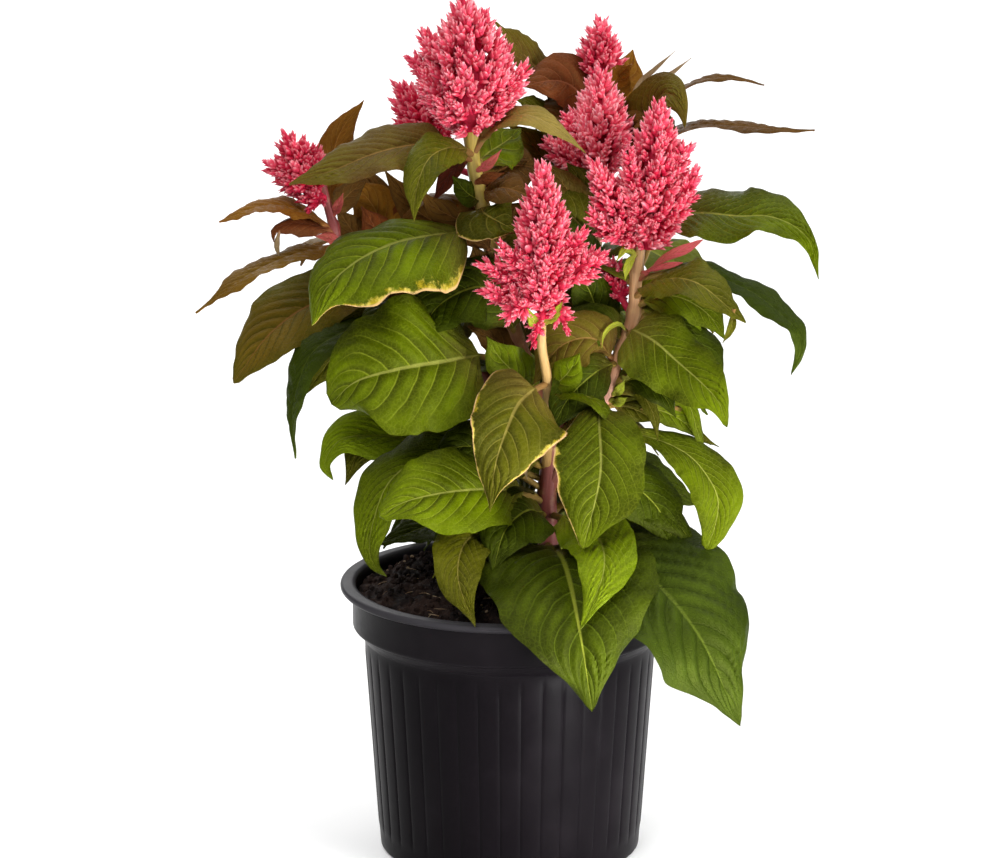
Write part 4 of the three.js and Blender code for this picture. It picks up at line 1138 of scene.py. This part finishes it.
def drain_cutter(azimuth):
    """A closed arch, standing across the wall at one azimuth."""
    half, top = DRAIN.width / 2, DRAIN.height
    outline = [(-half, -1), (half, -1)] + arc((0, top - half), half, 0, 180, 13)
    points = np.array([(x, -radius, z) for radius in CUT_RADII for x, z in outline])
    turn = math.radians(azimuth)
    spin = np.array([[math.cos(turn), -math.sin(turn), 0], [math.sin(turn), math.cos(turn), 0], [0, 0, 1]])
    faces = ring_faces(2, len(outline))
    return add_mesh(f"cutter_{azimuth}", points @ spin.T, faces, [], shade_smooth=False)


def cut_drains(pot):
    for k in range(DRAIN.count):
        cutter = drain_cutter(DRAIN.first_azimuth + k * 360 // DRAIN.count)
        modifier = pot.modifiers.new("drain", "BOOLEAN")
        modifier.operation = "DIFFERENCE"
        modifier.object = cutter
        bpy.context.view_layer.objects.active = pot
        bpy.ops.object.modifier_apply(modifier="drain")
        bpy.data.objects.remove(cutter)


# ---------------------------------------------------------------- soil
CRUMBS = 900
FIBRES = 90


def soil_material():
    """Dark moist compost with lighter grains."""
    g = Graph("soil", 0.9, 0.25)
    place = g.position()
    grain = g.noise(place, 420.0, 4.0, 0.7)
    clump = g.noise(place, 110.0, 3.0)
    color = g.mix(g.band(clump, 0.4, 0.62), rgb(22, 14, 12), rgb(46, 31, 25))
    color = g.over(color, rgb(84, 62, 48), g.band(grain, 0.55, 0.72), 0.45)
    return g.finish(color, None, grain, 0.8, 0.0012)


def fibre_material():
    g = Graph("fibre", 0.75, 0.3)
    bits = g.noise(g.position(), 300.0, 3.0)
    color = g.mix(g.band(bits, 0.35, 0.65), rgb(110, 84, 60), rgb(170, 148, 120))
    return g.finish(color, None, bits, 0.5, 0.0005)


def bumps(x, y, scale, seed):
    """Smooth uneven heights from -1 to 1, made of crossed waves."""
    waves = np.random.default_rng(seed)
    total = 0
    for _ in range(7):
        angle, phase = waves.uniform(0, 2 * math.pi, 2)
        k = waves.uniform(0.7, 1.5) * 2 * math.pi / scale
        total = total + np.sin(k * (x * math.cos(angle) + y * math.sin(angle)) + phase)
    return total / 3.5


def soil_height(radius, x, y):
    """The height of the bed: a low dome with clods."""
    dome = value_at(radius, [(0, SOIL.crown_height), (SOIL.shoulder_radius, SOIL.shoulder_height),
                             (POT.collar_radius - 1.5, SOIL.edge_height)])
    return dome + 0.8 * bumps(x, y, 19, 1) + 0.75 * bumps(x, y, 7, 2) + 0.45 * bumps(x, y, 3, 3)


def crumb(size, seed):
    """A lumpy grain round the origin: a blocky ball with its corners pushed in and out."""
    shaper = np.random.default_rng(seed)
    rows, sides = 5, 7
    points = []
    for i in range(rows):
        polar = math.pi * (i + 0.35) / (rows - 0.3)
        for k in range(sides):
            a = 2 * math.pi * k / sides
            r = size * shaper.uniform(0.7, 1.2)
            flat = r * math.sin(polar)
            points.append((flat * math.cos(a), flat * math.sin(a), r * math.cos(polar)))
    return np.array(points), ring_faces(rows, sides)


def turned_round(faces):
    """The same faces, seen from their other side."""
    return [tuple(reversed(face)) for face in faces]


BED_RINGS = 90
BED_SIDES = 200
BED_EDGE = POT.collar_radius - POT.wall - GAP


def soil_body():
    """The bed and, below it, the wall of the root ball that the drains show."""
    radius = BED_EDGE * np.sqrt(np.linspace(0.00002, 1, BED_RINGS))
    angle = np.arange(BED_SIDES) / BED_SIDES * 2 * math.pi
    r, a = np.meshgrid(radius, angle, indexing="ij")
    x, y = r * np.cos(a), r * np.sin(a)
    verts = [np.stack([x, y, soil_height(r, x, y)], axis=-1).reshape(-1, 3)]
    inset = POT.wall + 2 * GAP
    wall = [(BED_EDGE, 88), (POT.collar_radius - inset, POT.collar_height + GAP),
            (POT.body_top_radius - inset, POT.body_top),
            (POT.foot_radius - inset, 12), (POT.foot_radius - inset - 2, 5)]
    for wall_radius, wall_z in wall:
        uneven = wall_radius + (0.25 * bumps(angle * 40, angle * 0, 9, 4) if wall_z < 20 else 0)
        ring = [uneven * np.cos(angle), uneven * np.sin(angle), np.full(BED_SIDES, wall_z)]
        verts.append(np.stack(ring, axis=1))
    return np.concatenate(verts), turned_round(ring_faces(BED_RINGS + len(wall), BED_SIDES))


def spot_on_bed(reach, nearest):
    """A random place on the bed: x, y and the bed's height there."""
    radius = reach * math.sqrt(rng.uniform(nearest, 1))
    turn = rng.uniform(0, 2 * math.pi)
    x, y = radius * math.cos(turn), radius * math.sin(turn)
    return x, y, float(soil_height(np.array(radius), np.array(x), np.array(y)))


def make_soil():
    soil = Gathered()
    soil.add(*soil_body())
    for k in range(CRUMBS):
        x, y, height = spot_on_bed(BED_EDGE * 0.97, 0.0)
        size = rng.uniform(0.5, 1.5)
        points, faces = crumb(size, k)
        soil.add(points + np.array([x, y, height + 0.25 * size]), turned_round(faces))
    obj = add_mesh("soil_fine", soil.points(), soil.faces, [soil_material()], shade_smooth=False)
    return place_piece(obj, "soil", "soil")


def make_fibres():
    """Pale roots and bark fibres on the bed, and every third one a short piece of grit."""
    fibres = Gathered()
    for k in range(FIBRES):
        x, y, height = spot_on_bed(52, 0.05)
        heading = rng.uniform(0, 2 * math.pi)
        length = rng.uniform(1.0, 6.0) if k % 3 else rng.uniform(0.6, 1.4)
        thick = rng.uniform(0.12, 0.28) if k % 3 else rng.uniform(0.35, 0.6)
        step = 0.5 * length * np.array([math.cos(heading), math.sin(heading), rng.uniform(-0.1, 0.1)])
        middle = np.array([x, y, height + 1.0])
        bend = np.array([rng.normal(0, 0.3), rng.normal(0, 0.3), 0.2])
        path = [tuple(middle - step), tuple(middle + bend), tuple(middle + step)]
        rows, sides = 6, 5
        points = tube(path, lambda s, w=thick: w * (1 - 0.5 * np.abs(2 * s - 1)), sides, rows)
        fibres.add(points, ring_faces(rows, sides))
    obj = add_mesh("soil_fibres", fibres.points(), fibres.faces, [fibre_material()])
    return place_piece(obj, "soil")


# ---------------------------------------------------------------- stage
CAMERA = SimpleNamespace(lens=182.5, sensor_width=36, place=(-0.0035, -1.73027, 0.59265), tilt=75.74)


def make_camera():
    data = bpy.data.cameras.new("camera")
    data.lens = CAMERA.lens
    data.sensor_width = CAMERA.sensor_width
    data.clip_start = 0.05
    camera = add_object("camera", data)
    camera.location = CAMERA.place
    camera.rotation_euler = (math.radians(CAMERA.tilt), 0, 0)
    bpy.context.scene.camera = camera


# Each lamp's name, place, target and size, in metres, and its power in watts.
LIGHTS = [
    ("overhead", (0, 0.8, 3.0), (0, 0.8, 0), (4.5, 5.5), 147),
    ("key", (1.3, -0.9, 0.4), (0, 0, 0.12), (0.4, 0.75), 20),
    ("low", (0.15, -0.2, 0.04), (0, 0, 0.03), (0.09, 0.08), 0.62),
    ("front", (-0.7, -2.0, 2.0), (0, 0, 0.2), (0.9, 0.9), 26),
    ("back", (-0.5, 1.8, 1.0), (0, 0, 0.15), (1.0, 1.0), 9),
]
FLOOR_REACH = 6000
AMBIENT = 0.12


def area_light(name, place, target, size, power):
    data = bpy.data.lights.new(name, "AREA")
    data.shape = "RECTANGLE"
    data.size, data.size_y = size
    data.energy = power
    light = add_object(name, data)
    light.location = place
    way = np.array(target, float) - np.array(place, float)
    tilt = math.atan2(math.hypot(way[0], way[1]), -way[2])
    light.rotation_euler = (tilt, 0, math.atan2(way[1], way[0]) - math.pi / 2)


def make_floor():
    g = Graph("floor", 0.9, 0.1)
    g.shader.inputs["Emission Color"].default_value = (1, 1, 1, 1)
    g.shader.inputs["Emission Strength"].default_value = AMBIENT
    corners = [(x * FLOOR_REACH, y * FLOOR_REACH, 0) for x, y in ((-1, -1), (1, -1), (1, 1), (-1, 1))]
    pale = g.finish(rgb(246, 246, 246))
    add_mesh("floor", corners, [(0, 1, 2, 3)], [pale], shade_smooth=False)


def make_stage():
    make_floor()
    world = bpy.data.worlds.new("studio")
    world.use_nodes = True
    world.node_tree.nodes["Background"].inputs["Color"].default_value = (1, 1, 1, 1)
    world.node_tree.nodes["Background"].inputs["Strength"].default_value = AMBIENT
    bpy.context.scene.world = world
    for light in LIGHTS:
        area_light(*light)
    bpy.context.scene.view_settings.view_transform = "Standard"


# ---------------------------------------------------------------- everything
make_camera()
make_stage()
make_pot()
make_soil()
make_fibres()
for stem_name, stem_spec in STEMS.items():
    make_stem(stem_name, stem_spec)
floret_material = plume_material()
for plume_name, plume_spec in PLUMES.items():
    make_plume(plume_name, plume_spec, floret_material)
for stem_name, leaves in LEAVES.items():
    for number, leaf_spec in enumerate(leaves, start=1):
        node = f"leaf_{stem_name}_{number}"
        make_leaf(f"{node}_fine", leaf_spec, node)
for stem_name, leaves in SMALL_LEAVES.items():
    for number, leaf_spec in enumerate(leaves, start=1):
        make_leaf(f"small_{stem_name}_{number}", leaf_spec)
for number, fill in enumerate(FILL_LEAVES, start=1):
    make_leaf(f"fill_{number}", fill_leaf(*fill))
